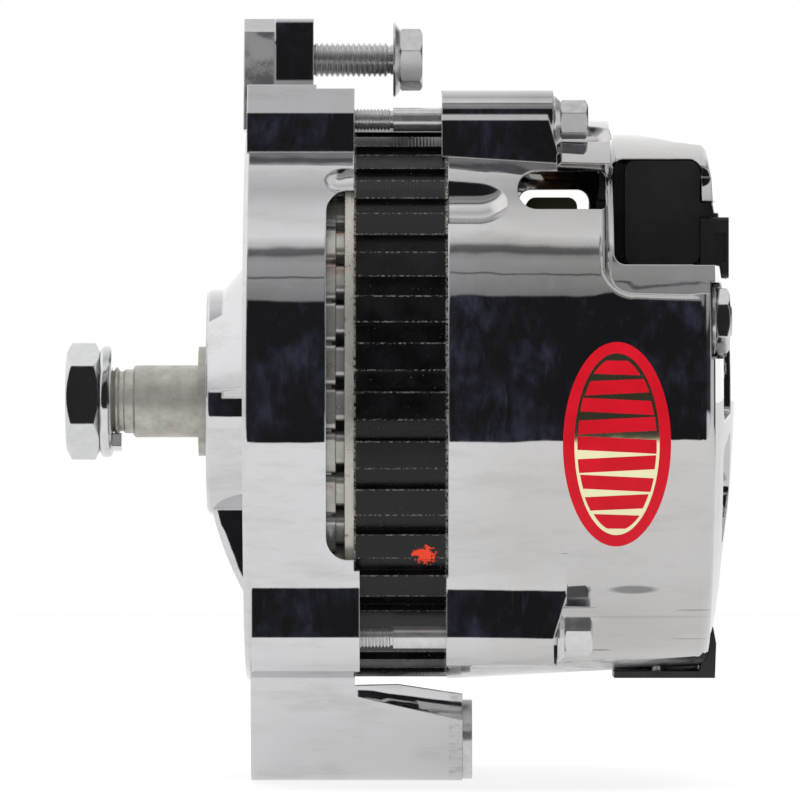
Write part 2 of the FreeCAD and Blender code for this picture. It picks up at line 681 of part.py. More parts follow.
def drum_windows():
    """Air outlets round the drum's wall behind the stator, on the sides not facing the label."""
    angles = ((192, 222), (230, 256), (272, 306))
    return [sector(64.0, 74.0, 55.0, 75.0, start, end, 4.0) for start, end in angles]


def rear_frame():
    hub = tube(REAR_HUB_X, 122.5, REAR_HUB_R, REAR_BEARING_R[1])
    back = rod(REAR_BEARING_X[1] + 0.6, 122.5, REAR_HUB_R)
    front_x = STATOR_REAR_X - 1.4
    lower_x = front_x + 1.0
    bosses = [boss(angle, REAR_BOSS_R, start_x, seat)
              for angle, start_x, seat in zip(BOLT_ANGLES, (front_x, lower_x, front_x), BOLT_SEATS_X)]
    flank = [(front_x, 54.0), (front_x, 69.0), (81.2, 69.0), (84.6, 56.6), (84.6, 54.0)]
    bosses.append(upper_flank(flank, -32.4, ((-32.4, 65.4), (-29.6, 67.6))))
    bosses.append(near_flank(BOLT_ANGLES[1], REAR_BOSS_R, rear_radius(BOLT_SEATS_X[1]), 17.0,
                             lower_x, BOLT_SEATS_X[1] + 2.1))
    bosses.append(shoulder())
    cavity = rod(50.0, 100.0, REAR_BORE_R - 1.0)
    bosses = [one.cut(cavity) for one in bosses]
    stud_boss = rod(108.0, STUD_SEAT_X, 8.5, STUD_Y, STUD_Z)
    pad = side_prism([(97.0, -57.0), (97.0, -63.3), (117.8, -63.5), (117.8, -57.0)],
                     -GUARD_PAD_HALF, GUARD_PAD_HALF)
    pad = pad.cut(rod(80.0, 120.0, 59.5))
    channel_wall = sector(61.0, 77.0, 59.8, 62.5, 30.0, 55.0)
    solid = fused([rear_shell(), hub, back, connector_roof(), stud_boss, channel_wall, pad] + bosses)
    tools = [rod(50.0, STATOR_CORE_X[1] + 0.05, STATOR_LIP_R - 1.88),
             rod(40.0, STATOR_REAR_X, STATOR_R + 0.3),
             roof_cut(), pocket_prism(), recess_tool(), side_window(-1), side_window(1), boss_lean(),
             block((SOCKET_X[0] - 0.1, 130.0), SOCKET_Y, SOCKET_Z),
             block((REAR_EDGE_X - 1.6, 130.0), (-80.0, SOCKET_Y[1]), RIM_NOTCH_Z),
             rod(100.0, 130.0, STUD_R + 1.6, STUD_Y, STUD_Z),
             rod(STUD_SEAT_X, 130.0, 8.8, STUD_Y, STUD_Z),
             block((STUD_SEAT_X, 130.0), (-70.0, STUD_Y), (STUD_Z - 8.8, STUD_Z + 8.8))]
    for angle, seat in zip(BOLT_ANGLES, BOLT_SEATS_X):
        end_x = seat + SCALLOP_LENGTH
        tools.append(rod_at(50.0, 100.0, BOLT_SHANK_R + 0.3, angle, BOLT_CIRCLE_R))
        scallop = Part.makeSphere(SCALLOP_R, around(angle, BOLT_CIRCLE_R, end_x))
        tools.append(rod_at(seat, end_x, SCALLOP_R, angle, BOLT_CIRCLE_R).fuse(scallop))
    groove_end = Part.makeSphere(CHANNEL_R, Vector(CHANNEL_END_X, CHANNEL_Y, CHANNEL_Z))
    tools.append(rod(50.0, CHANNEL_END_X, CHANNEL_R, CHANNEL_Y, CHANNEL_Z).fuse(groove_end))
    for y in GUARD_SCREWS_Y:
        tools.append(Part.makeCylinder(1.3, 20.0, Vector(GUARD_SCREW_X, y, -70.0), Z_AXIS))
    return solid.cut(tools + dome_windows() + drum_windows()).removeSplitter()


# ---- fasteners ----------------------------------------------------------------------
def flange_bolt(seat_x, tip_x, thread_end_x, radius, shank_r, pitch, flats, flange_r, flange_x,
                head_x):
    """A flange-head bolt pointing along -X, made on the shaft axis."""
    depth = pitch * 0.55
    thread = threaded(tip_x, thread_end_x, radius, pitch, depth)
    shank = rod(thread_end_x, seat_x + 0.5, shank_r)
    flange = spun([(seat_x, 0), (seat_x, flange_r), (seat_x + 0.5, flange_r),
                   (seat_x + flange_x, flats * 0.56), (seat_x + flange_x, 0)])
    head = hexagon(seat_x + flange_x - 0.2, seat_x + head_x, flats, chamfer=0.6)
    dish = spun([(seat_x + head_x - 0.5, 0), (seat_x + head_x + 0.1, flats * 0.36),
                 (seat_x + head_x + 1, flats * 0.36), (seat_x + head_x + 1, 0)])
    return fused([thread, shank, flange, head]).cut(dish)


def through_bolts():
    bolts = []
    for angle, seat in zip(BOLT_ANGLES, BOLT_SEATS_X):
        bolt = flange_bolt(seat, 22.0, 45.9, BOLT_THREAD_R, BOLT_SHANK_R, 0.8, 8.0, 5.6, 1.7, 8.2)
        bolts.append(set_at(turned(bolt, 12.0), angle, BOLT_CIRCLE_R))
    return Part.makeCompound(bolts)


def adjuster_bolt():
    bolt = flange_bolt(ADJUSTER_FLANGE_X, ADJUSTER_FLANGE_X - ADJUSTER_LENGTH,
                       ADJUSTER_FLANGE_X - 0.6, 4.0, 3.6, 1.25, 13.0, 8.75, 1.6, 6.9)
    return moved(turned(bolt, 15.7), z=EAR_Z)


def pulley_nut():
    nut = hexagon(NUT_X[0], NUT_X[1], NUT_FLATS, turn=7.0, chamfer=1.3)
    return nut.cut(rod(-40.0, -20.0, SHAFT_THREAD_R + RADIAL_GAP))


def lock_washer():
    """Split spring washer; its cut ends stand a little apart along the shaft."""
    ring = tube(WASHER_X[0] + 0.02, WASHER_X[1], WASHER_R, SHAFT_THREAD_R + 0.3)
    rims = [edge for edge in ring.Edges
            if isinstance(edge.Curve, Part.Circle) and edge.Curve.Radius > WASHER_R - 0.1]
    ring = ring.makeFillet(1.1, rims)
    slit = block((-30.0, -15.0), (-0.5, 0.5), (-16.0, -6.0))
    raised = sector(WASHER_X[1] - 0.5, WASHER_X[1] + 2.2, SHAFT_THREAD_R + 0.3, WASHER_R - 1.4,
                    154.0, 176.0)
    return ring.fuse(raised).cut(turned(slit, 0.0)).removeSplitter()


# ---- rotor --------------------------------------------------------------------------
def rotor_shaft():
    thread = threaded(SHAFT_TIP_X, THREAD_END_X, SHAFT_THREAD_R, SHAFT_THREAD_PITCH, 0.9)
    body = spun([(THREAD_END_X - 0.3, 0), (THREAD_END_X - 0.3, SHAFT_NECK_R - 0.4),
                 (THREAD_END_X, SHAFT_NECK_R),
                 (SEAT_START_X, SHAFT_NECK_R), (SEAT_START_X, SHAFT_R - 0.5),
                 (SEAT_START_X + 0.5, SHAFT_R), (RELIEF_X[0], SHAFT_R), (RELIEF_X[0], RELIEF_R),
                 (RELIEF_X[1], RELIEF_R), (RELIEF_X[1], SHAFT_R),
                 (20.0, SHAFT_R), (20.0, 9.5), (75.0, 9.5),
                 (75.0, REAR_SEAT_R), (SHAFT_REAR_X - 0.8, REAR_SEAT_R),
                 (SHAFT_REAR_X, REAR_SEAT_R - 0.8), (SHAFT_REAR_X, 0)])
    socket = hexagon(SHAFT_TIP_X - 1, SHAFT_TIP_X + 7, 8.0, chamfer=0.01)
    return thread.fuse(body).cut(socket).removeSplitter()


def shaft_collar():
    """Collar behind the pulley seat, its bore chamfered at the front."""
    chamfer = 0.9
    return spun([(0.0, SHAFT_R + chamfer), (0.0, COLLAR_R), (COLLAR_END_X, COLLAR_R),
                 (COLLAR_END_X, SHAFT_R), (chamfer, SHAFT_R)])


def claw_pole(forward):
    """One half of the rotor's iron: a disc with tapered fingers bent along the shaft."""
    length = ROTOR_X[1] - ROTOR_X[0]
    disc = tube(0, POLE_DISC, 40.0, 9.5)
    tips = []
    finger_plan = [(0.0, -11.5), (0.0, 11.5), (POLE_DISC, 11.0), (length - 1.5, 4.2),
                   (length - 1.5, -4.2), (POLE_DISC, -11.0)]
    points = [Vector(x, y, 35.0) for x, y in finger_plan]
    plan = Part.Face(Part.makePolygon(points + points[:1])).extrude(Vector(0, 0, 20.0))
    finger_ring = spun([(0.0, 38.0), (0.0, ROTOR_R - 2), (2.0, ROTOR_R), (length, ROTOR_R),
                        (length, ROTOR_R - 3.0), (POLE_DISC, 41.5), (POLE_DISC, 38.0)])
    finger = plan.common(finger_ring)
    for step in range(CLAWS):
        tips.append(turned(finger, 360.0 / CLAWS * step))
    solid = fused([disc] + tips)
    if forward:
        return moved(solid, x=ROTOR_X[0])
    solid = turned(solid, 180.0 / CLAWS)
    solid.rotate(ORIGIN, Z_AXIS, 180.0)
    return moved(solid, x=ROTOR_X[1])


def field_bobbin():
    inner = FIELD_X[0] - 0.8
    outer = FIELD_X[1] + 0.8
    return spun([(inner, 9.6), (inner, 37.0), (FIELD_X[0], 37.0), (FIELD_X[0], 15.0),
                 (FIELD_X[1], 15.0), (FIELD_X[1], 37.0), (outer, 37.0), (outer, 9.6)])


def field_coil():
    return tube(FIELD_X[0] + 0.02, FIELD_X[1] - 0.02, 36.0, 15.02)


def fan(disc_x, blade_x, blades, lean):
    """A pressed-steel fan: a flat disc with curved blades standing along the shaft."""
    disc = tube(disc_x[0], disc_x[1], 38.0, 9.55)
    shapes = [disc]
    blade_length = blade_x[1] - blade_x[0]
    for step in range(blades):
        curve_r = 20.0
        wall = Part.makeCylinder(curve_r, blade_length, Vector(blade_x[0], 0, 0), X_AXIS)
        wall = wall.cut(Part.makeCylinder(curve_r - 1.4, blade_length + 2,
                                          Vector(blade_x[0] - 1, 0, 0), X_AXIS))
        wall = moved(wall, y=lean * curve_r, z=36.0)
        window = tube(blade_x[0], blade_x[1], 46.5, 29.0)
        half = block((blade_x[0], blade_x[1]), ordered(0.0, lean * 12.0), (20.0, 50.0))
        shapes.append(turned(wall.common(window).common(half), 360.0 / blades * step))
    pads = [sector(disc_x[0], disc_x[1], 37.0, 46.5, 360.0 / blades * step - 9.0,
                   360.0 / blades * step + 9.0) for step in range(blades)]
    return fused(shapes + pads)


def slip_ring_sleeve():
    first, second = SLIP_RINGS_X
    ends = (first[0] - 2.0, second[1] + 1.5)
    gap = (first[1], second[0])
    return spun([(ends[0], REAR_SEAT_R), (ends[0], SLIP_RING_R), (first[0], SLIP_RING_R),
                 (first[0], SLIP_SLEEVE_R), (gap[0], SLIP_SLEEVE_R), (gap[0], SLIP_RING_R),
                 (gap[1], SLIP_RING_R), (gap[1], SLIP_SLEEVE_R), (second[1], SLIP_SLEEVE_R),
                 (second[1], SLIP_RING_R), (ends[1], SLIP_RING_R), (ends[1], REAR_SEAT_R)])


# ---- brushes ------------------------------------------------------------------------
def brush(x):
    middle = (x[0] + x[1]) / 2.0
    solid = block((middle - BRUSH_HALF[0], middle + BRUSH_HALF[0]),
                  (-BRUSH_HALF[1], BRUSH_HALF[1]), (SLIP_RING_R - 1.0, BRUSH_TOP_Z))
    return solid.cut(rod(x[0] - 2, x[1] + 2, SLIP_RING_R + RADIAL_GAP))


def brush_spring(x):
    middle = (x[0] + x[1]) / 2.0
    coils = 5
    pitch = (SPRING_TOP_Z - BRUSH_TOP_Z - 1.2) / coils
    path = Part.makeHelix(pitch, pitch * coils, 2.0)
    start = Vector(2.0, 0, 0)
    section = Part.Wire([Part.Circle(start, Y_AXIS, 0.35).toShape()])
    coil = Part.Wire(path.Edges).makePipeShell([section], True, True)
    return moved(coil, x=middle, z=BRUSH_TOP_Z + 0.55)


def brush_holder():
    """Moulded guide for both brushes, with a solid top that the springs push against."""
    first, second = SLIP_RINGS_X
    solid = soft_block((first[0] - 1.2, second[1] + 1.2), (-7.0, 7.0), (13.5, HOLDER_TOP_Z),
                       Z_AXIS, 1.5)
    for x in SLIP_RINGS_X:
        middle = (x[0] + x[1]) / 2.0
        solid = solid.cut(block((middle - BRUSH_HALF[0] - 0.08, middle + BRUSH_HALF[0] + 0.08),
                                (-BRUSH_HALF[1] - 0.08, BRUSH_HALF[1] + 0.08),
                                (10.0, SPRING_TOP_Z)))
    return solid


# ---- electrical parts ---------------------------------------------------------------
def positive_heat_sink():
    first_x, last_x = POSITIVE_SINK_X
    plate = sector(first_x, last_x, 25.0, 55.0, SINK_ANGLES[0], SINK_ANGLES[1])
    fins = []
    for step in range(17):
        start = SINK_ANGLES[0] + 2.0 + 8.0 * step
        fins.append(sector(last_x, last_x + 4.5, 28.0, 54.0, start, start + 2.0))
    holes = [rod_at(100, 115, DIODE_HOLE_R, angle, DIODE_CIRCLE_R) for angle in POSITIVE_DIODE_ANGLES]
    return fused([plate] + fins).cut(holes)


def negative_heat_sink():
    plate = sector(NEGATIVE_SINK_X[0], NEGATIVE_SINK_X[1], 25.0, 59.0, SINK_ANGLES[0], SINK_ANGLES[1])
    holes = [rod_at(88, 100, DIODE_HOLE_R, angle, DIODE_CIRCLE_R) for angle in NEGATIVE_DIODE_ANGLES]
    holes += [rod_at(88, 100, 1.65, angle, RECTIFIER_SCREW_CIRCLE_R)
              for angle in RECTIFIER_SCREW_ANGLES]
    return plate.cut(holes)


def diodes(x, angles):
    """Press-fit diodes: a knurled cup, an epoxy fillet and a flat lead."""
    cup = spun([(x, 0), (x, DIODE_R), (x + 5.0, DIODE_R), (x + 5.0, 5.2), (x + 6.0, 2.4),
                (x + 7.5, 0.7), (x + 9.5, 0.7), (x + 9.5, 0)])
    return Part.makeCompound([set_at(cup, angle, DIODE_CIRCLE_R) for angle in angles])


def heat_sink_insulator():
    """Moulded spacers between the two heat sinks, one inside each screw."""
    pads = [sector(NEGATIVE_SINK_X[1], POSITIVE_SINK_X[0], 48.5, 53.0, angle - 4.5, angle + 4.5)
            for angle in RECTIFIER_SCREW_ANGLES]
    return Part.makeCompound(pads)


def terminal_strip():
    """Moulded strip in front of the heat sinks that carries the phase connections."""
    strip = sector(85.9, 90.0, 46.0, 59.0, 125.0, 238.0)
    posts = [sector(83.0, 86.0, 49.0, 54.0, start, start + 6.0) for start in (140.0, 160.0, 222.0)]
    return fused([strip] + posts)


def rectifier_screws():
    seat = NEGATIVE_SINK_X[1]
    head = rod(seat, seat + 4.0, 2.9).cut(block((seat + 3.0, seat + 4.5), (-0.4, 0.4), (-2.4, 2.4)))
    screw = head.fuse(rod(90.5, seat, 1.6))
    return Part.makeCompound([set_at(screw, angle, RECTIFIER_SCREW_CIRCLE_R)
                              for angle in RECTIFIER_SCREW_ANGLES])


def voltage_regulator():
    """Moulded regulator block with a step that fills the notch in the frame's rim."""
    body = soft_block(BLOCK_X, BLOCK_Y, BLOCK_Z, Y_AXIS, 2.4)
    step = block((BLOCK_X[1] - 3.0, REAR_RIM_X), BLOCK_Y, (SOCKET_Z[1] + 0.1, RIM_NOTCH_Z[1] - 0.2))
    return body.fuse(step).removeSplitter()


def pocket_seal():
    """Thin moulded wall that closes the gap between the frame and the regulator."""
    return block((POCKET_X[0] + 0.1, BLOCK_X[0] - 0.1), (-27.0, -12.0),
                 (POCKET_FLOOR_Z + 2.3, POCKET_ROOF_Z - 2.3))


def regulator_screws():
    screws = []
    for x, z in ((104.0, 52.5), (113.8, 36.5)):
        screw = Part.makeCylinder(2.6, 2.0, Vector(x, BLOCK_Y[1], z), Y_AXIS)
        cross = block((x - 2.0, x + 2.0), (BLOCK_Y[1] + 1.2, BLOCK_Y[1] + 3.0), (z - 0.4, z + 0.4))
        screws.append(screw.cut(cross))
    return Part.makeCompound(screws)


def connector_housing():
    """Four-way socket that faces rearward, with a latch window on its near side."""
    shell = soft_block(SOCKET_X, SOCKET_Y, SOCKET_Z, X_AXIS, 1.2)
    wall = SOCKET_WALL
    hollow = block((SOCKET_X[0] + 1.6, SOCKET_X[1] + 1), (SOCKET_Y[0] + wall, SOCKET_Y[1] - wall),
                   (SOCKET_Z[0] + wall, SOCKET_Z[1] - wall))
    latch = block((SOCKET_X[1] - 3.2, SOCKET_X[1] - 0.8), (SOCKET_Y[0] - 1, SOCKET_Y[0] + 0.7),
                  (32.5, 39.2))
    return shell.cut([hollow, latch])


def connector_pins():
    pins = []
    for step in range(4):
        y = SOCKET_Y[0] + 4.1 + 4.6 * step
        pins.append(block((SOCKET_X[0] + 1.6, SOCKET_X[1] - 1.6), (y - 1.2, y + 1.2), (31.8, 32.6)))
    return Part.makeCompound(pins)


def suppression_capacitor():
    return soft_block((77.2, 89.2), (-8.0, 8.0), (HOLDER_TOP_Z + 0.3, 48.0), Y_AXIS, 2.2)


def output_stud():
    thread = threaded(STUD_SEAT_X - 1.0, STUD_SEAT_X + 5.3, STUD_R, 1.25, 0.65)
    root = rod(109.0, STUD_SEAT_X - 0.8, STUD_R - 0.1)
    return moved(root.fuse(thread).removeSplitter(), y=STUD_Y, z=STUD_Z)


def stud_insulator():
    sleeve = tube(109.0, STUD_SEAT_X, STUD_R + 1.55, STUD_R + 0.03)
    collar = tube(STUD_SEAT_X, STUD_SEAT_X + 0.6, 8.0, STUD_R + 0.03)
    return moved(sleeve.fuse(collar).removeSplitter(), y=STUD_Y, z=STUD_Z)


def stud_washer():
    return tube(STUD_SEAT_X + 0.6, STUD_SEAT_X + 1.4, 7.7, STUD_R + 0.05, STUD_Y, STUD_Z)


def stud_nut():
    nut = hexagon(STUD_SEAT_X + 1.4, STUD_SEAT_X + 4.8, 13.0, turn=0.0, chamfer=0.6)
    return moved(nut.cut(rod(120, 130, STUD_R + 0.03)), y=STUD_Y, z=STUD_Z)


def lower_guard():
    """Black moulded strip under the drum with a corner that wraps round the rear edge."""
    low, top = GUARD_Z
    strip = block((97.9, 120.8), (-GUARD_HALF, GUARD_HALF), GUARD_Z)
    tail = side_prism([(115.9, top), (115.9, low), (121.6, low), (121.9, -57.0), (121.1, -52.6),
                       (120.3, -53.0), (118.0, top)], -GUARD_HALF, GUARD_HALF)
    holes = [countersunk(1.4, 2.5, y) for y in GUARD_SCREWS_Y]
    return strip.fuse(tail).cut(holes).cut(rear_shell_solid()).removeSplitter()


def countersunk(shank_r, head_r, y):
    """A countersunk screw's shape under the drum, pointing up."""
    low = GUARD_Z[0]
    shank = Part.makeCylinder(shank_r, 6.0, Vector(GUARD_SCREW_X, y, low + 0.1), Z_AXIS)
    head = Part.makeCone(head_r, shank_r, 1.1, Vector(GUARD_SCREW_X, y, low), Z_AXIS)
    return shank.fuse(head)


def rear_shell_solid():
    """The drum's filled outline, grown a little, used to clear what lies against it."""
    return spun([(58.0, 0), (58.0, REAR_R + 0.05), (REAR_EDGE_X, REAR_END_R + 0.05),
                 (REAR_EDGE_X + 1.5, REAR_END_R - 0.05), (REAR_RIM_X - 0.5, REAR_END_R - 0.8),
                 (REAR_RIM_X + 0.1, REAR_END_R - 2.2), (121.4, DOME_EDGE_R), (121.4, 0)])


def guard_screws():
    return Part.makeCompound([countersunk(1.25, 2.35, y) for y in GUARD_SCREWS_Y])


def oval_label():
    """A thin oval plate wrapped on the drum's near side."""
    centre_x, centre_z, half_x, half_z = 97.2, -9.9, 12.4, 23.5
    skin = spun([(80.0, rear_radius(80.0) + 0.01), (117.0, rear_radius(117.0) + 0.01),
                 (117.0, rear_radius(117.0) + 0.16), (80.0, rear_radius(80.0) + 0.16)])
    oval = Part.Ellipse(Vector(centre_x, -80.0, centre_z + half_z),
                        Vector(centre_x + half_x, -80.0, centre_z),
                        Vector(centre_x, -80.0, centre_z))
    stamp = Part.Face(Part.Wire([oval.toShape()])).extrude(Vector(0, 60.0, 0))
    return skin.common(stamp)


# ---- the whole alternator -----------------------------------------------------------
def all_parts():
    front = bearing(FRONT_BEARING_X, FRONT_BEARING_R, 4.0, 8)
    rear = bearing(REAR_BEARING_X, REAR_BEARING_R, 2.8, 9)
    first, second = SLIP_RINGS_X
    return {
        "front_frame": front_frame(), "foot_bushing": foot_bushing(),
        "front_bearing_outer_ring": front[0], "front_bearing_inner_ring": front[1],
        "front_bearing_cage": front[2], "front_bearing_balls": front[3],
        "bearing_retainer_plate": bearing_retainer_plate(), "retainer_screws": retainer_screws(),
        "stator_core": stator_core(), "slot_conductors": slot_conductors(),
        "end_turns_front": end_turns(STATOR_CORE_X[0], FRONT_BEND_X, FRONT_TURNS_X),
        "end_turns_rear": end_turns(STATOR_CORE_X[1], REAR_BEND_X, REAR_TURNS_X),
        "phase_leads": phase_leads(), "rear_frame": rear_frame(),
        "rear_bearing_outer_ring": rear[0], "rear_bearing_inner_ring": rear[1],
        "rear_bearing_cage": rear[2], "rear_bearing_balls": rear[3],
        "through_bolts": through_bolts(), "adjuster_bolt": adjuster_bolt(),
        "pulley_nut": pulley_nut(), "lock_washer": lock_washer(),
        "rotor_shaft": rotor_shaft(), "shaft_collar": shaft_collar(),
        "front_claw_pole": claw_pole(True), "rear_claw_pole": claw_pole(False),
        "field_bobbin": field_bobbin(), "field_coil": field_coil(),
        "front_fan": fan(FRONT_FAN_DISC_X, FRONT_FAN_BLADE_X, FAN_BLADES, 1.0),
        "rear_fan": fan(REAR_FAN_DISC_X, REAR_FAN_BLADE_X, FAN_BLADES, -1.0),
        "slip_ring_sleeve": slip_ring_sleeve(),
        "slip_ring_inner": tube(first[0], first[1], SLIP_RING_R, SLIP_SLEEVE_R),
        "slip_ring_outer": tube(second[0], second[1], SLIP_RING_R, SLIP_SLEEVE_R),
        "brush_inner": brush(first), "brush_outer": brush(second),
        "brush_spring_inner": brush_spring(first), "brush_spring_outer": brush_spring(second),
        "brush_holder": brush_holder(), "positive_heat_sink": positive_heat_sink(),
        "negative_heat_sink": negative_heat_sink(),
        "positive_diodes": diodes(POSITIVE_SINK_X[0] - 1.0, POSITIVE_DIODE_ANGLES),
        "negative_diodes": diodes(NEGATIVE_SINK_X[0] - 0.5, NEGATIVE_DIODE_ANGLES),
        "heat_sink_insulator": heat_sink_insulator(), "terminal_strip": terminal_strip(),
        "rectifier_screws": rectifier_screws(), "voltage_regulator": voltage_regulator(),
        "regulator_screws": regulator_screws(), "pocket_seal": pocket_seal(),
        "connector_housing": connector_housing(), "connector_pins": connector_pins(),
        "suppression_capacitor": suppression_capacitor(), "output_stud": output_stud(),
        "stud_insulator": stud_insulator(), "stud_washer": stud_washer(), "stud_nut": stud_nut(),
        "lower_guard": lower_guard(), "guard_screws": guard_screws(), "oval_label": oval_label(),
    }


os.makedirs("parts", exist_ok=True)
for name, shape in all_parts().items():
    print(name, len(shape.Solids), "solids", "valid" if shape.isValid() else "NOT VALID",
          round(shape.Volume), "mm3")
    shape.exportStep(os.path.join("parts", name + ".step"))
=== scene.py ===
import json
import math

import bpy
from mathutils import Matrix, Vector


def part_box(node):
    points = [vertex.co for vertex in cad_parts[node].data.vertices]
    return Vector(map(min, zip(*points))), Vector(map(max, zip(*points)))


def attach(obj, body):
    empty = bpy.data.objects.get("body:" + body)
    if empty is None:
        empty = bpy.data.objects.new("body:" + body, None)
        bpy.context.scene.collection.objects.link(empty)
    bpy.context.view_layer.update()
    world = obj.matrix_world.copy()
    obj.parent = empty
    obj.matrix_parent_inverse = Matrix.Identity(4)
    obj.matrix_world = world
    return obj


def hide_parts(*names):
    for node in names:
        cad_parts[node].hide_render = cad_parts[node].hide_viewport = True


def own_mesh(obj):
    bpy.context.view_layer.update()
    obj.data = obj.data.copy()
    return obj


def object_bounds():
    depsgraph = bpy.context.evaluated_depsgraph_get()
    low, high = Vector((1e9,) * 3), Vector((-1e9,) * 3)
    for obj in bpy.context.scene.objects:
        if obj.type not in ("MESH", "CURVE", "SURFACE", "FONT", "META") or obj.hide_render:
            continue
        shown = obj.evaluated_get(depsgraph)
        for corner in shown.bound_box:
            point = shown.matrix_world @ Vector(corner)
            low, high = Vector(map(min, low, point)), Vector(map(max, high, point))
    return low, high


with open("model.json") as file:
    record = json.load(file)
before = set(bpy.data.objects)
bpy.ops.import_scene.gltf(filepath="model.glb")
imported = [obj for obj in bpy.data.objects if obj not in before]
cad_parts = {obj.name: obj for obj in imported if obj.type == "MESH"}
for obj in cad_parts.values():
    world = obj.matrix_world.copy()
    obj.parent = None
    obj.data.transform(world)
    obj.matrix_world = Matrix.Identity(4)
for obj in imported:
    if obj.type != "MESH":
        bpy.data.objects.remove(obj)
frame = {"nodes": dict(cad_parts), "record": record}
CAD_BOX = [list(corner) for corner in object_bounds()]
NODES = frame["nodes"]
SLOT_OF_NODE = {part["node"]: part["material_slot"] for part in frame["record"]["subparts"]}

MM = 0.001

# Camera: its distance from the shaft's plane, the width it sees there, and the point it aims at.
CAMERA_DISTANCE = 2.0
FIELD_WIDTH = 0.1891
VIEW_CENTRE = Vector((0.0475, 0.0, 0.0003))
SENSOR = 36.0

# Stage: the floor's outline and its depth under the part (metres), and the dark wall's brightness.
FLOOR_NEAR_EDGE = -0.335
FLOOR_FAR_EDGE = 1.6
FLOOR_X = (-1.5, 1.6)
FLOOR_DROP = 0.5 * MM
DARK = 0.012

# Stator, in degrees round the shaft: the lands' spacing, one land's middle and a land's half width.
LAND_PITCH = 10.0
LAND_CENTRE = 0.95
LAND_HALF = 2.75

# Stator, in mm: the radii beyond which a point can lie in a groove and on a land's edge, the bare
# ends, the laminations' spacing, the height of the ribbed land, and the red dab as (x, z).
GROOVE_FROM_R = 62.0
LAND_EDGE_FROM_R = 64.2
BARE_END_X = (36.88, 58.62)
LAMINATION_PITCH = 0.78
RIBBED_LAND_Z = 51.6
RED_MARK = (53.2, -35.2)
RED_MARK_SIZE = (2.5, 2.3)

# Rotor winding: spacing of its turns in mm.
WIRE_PITCH = 0.9

# Rear drum: two points on its tapering outline, (x, radius) in mm.
DRUM_FRONT = (58.6, 65.5)
DRUM_REAR = (116.7, 62.4)

# Dark marks painted on the near side of the drum, painted shade for dents and thin scrapes: centre (x,
# z) and half sizes in mm, and how strongly each darkens.
DENT_SHADE_AND_SCRAPES = (((101.4, -43.5), (6.5, 1.15), 0.75), ((90.9, -43.5), (0.8, 0.95), 0.75),
         ((94.0, -58.0), (3.3, 0.22), 0.75), ((104.6, -50.0), (19.0, 0.42), 0.16),
         ((115.6, -48.4), (5.2, 0.26), 0.4), ((115.0, -55.3), (5.4, 0.22), 0.35))

# Label, in mm: the border's width, and how far inside the oval the bars end in x and in z.
BORDER_WIDTH = 2.6
BARS_INSET = (3.3, 3.6)

# Label, in metres: the gap under its plates, and the plates' thicknesses.
PLATE_LIFT = 0.02 * MM
BORDER_THICK = 0.14 * MM
FIELD_THICK = 0.10 * MM
BAR_THICK = 0.13 * MM

# Label, plain numbers: bars, the share of the pitch each one fills, their lean, points round the
# oval, and the share of a plate taken by the narrow ring that keeps its edge evenly shaded.
BAR_COUNT = 9
BAR_SPAN = (0.12, 0.84)
BAR_LEAN = 0.10
OVAL_STEPS = 96
EDGE_RING = 0.02

# Brush springs, in metres apart from the number of coils.
SPRING_FIXED_END_Z = 0.033
SPRING_COILS = 5.5
SPRING_WIRE_R = 0.30 * MM
SPRING_CLEARANCE = 0.06 * MM


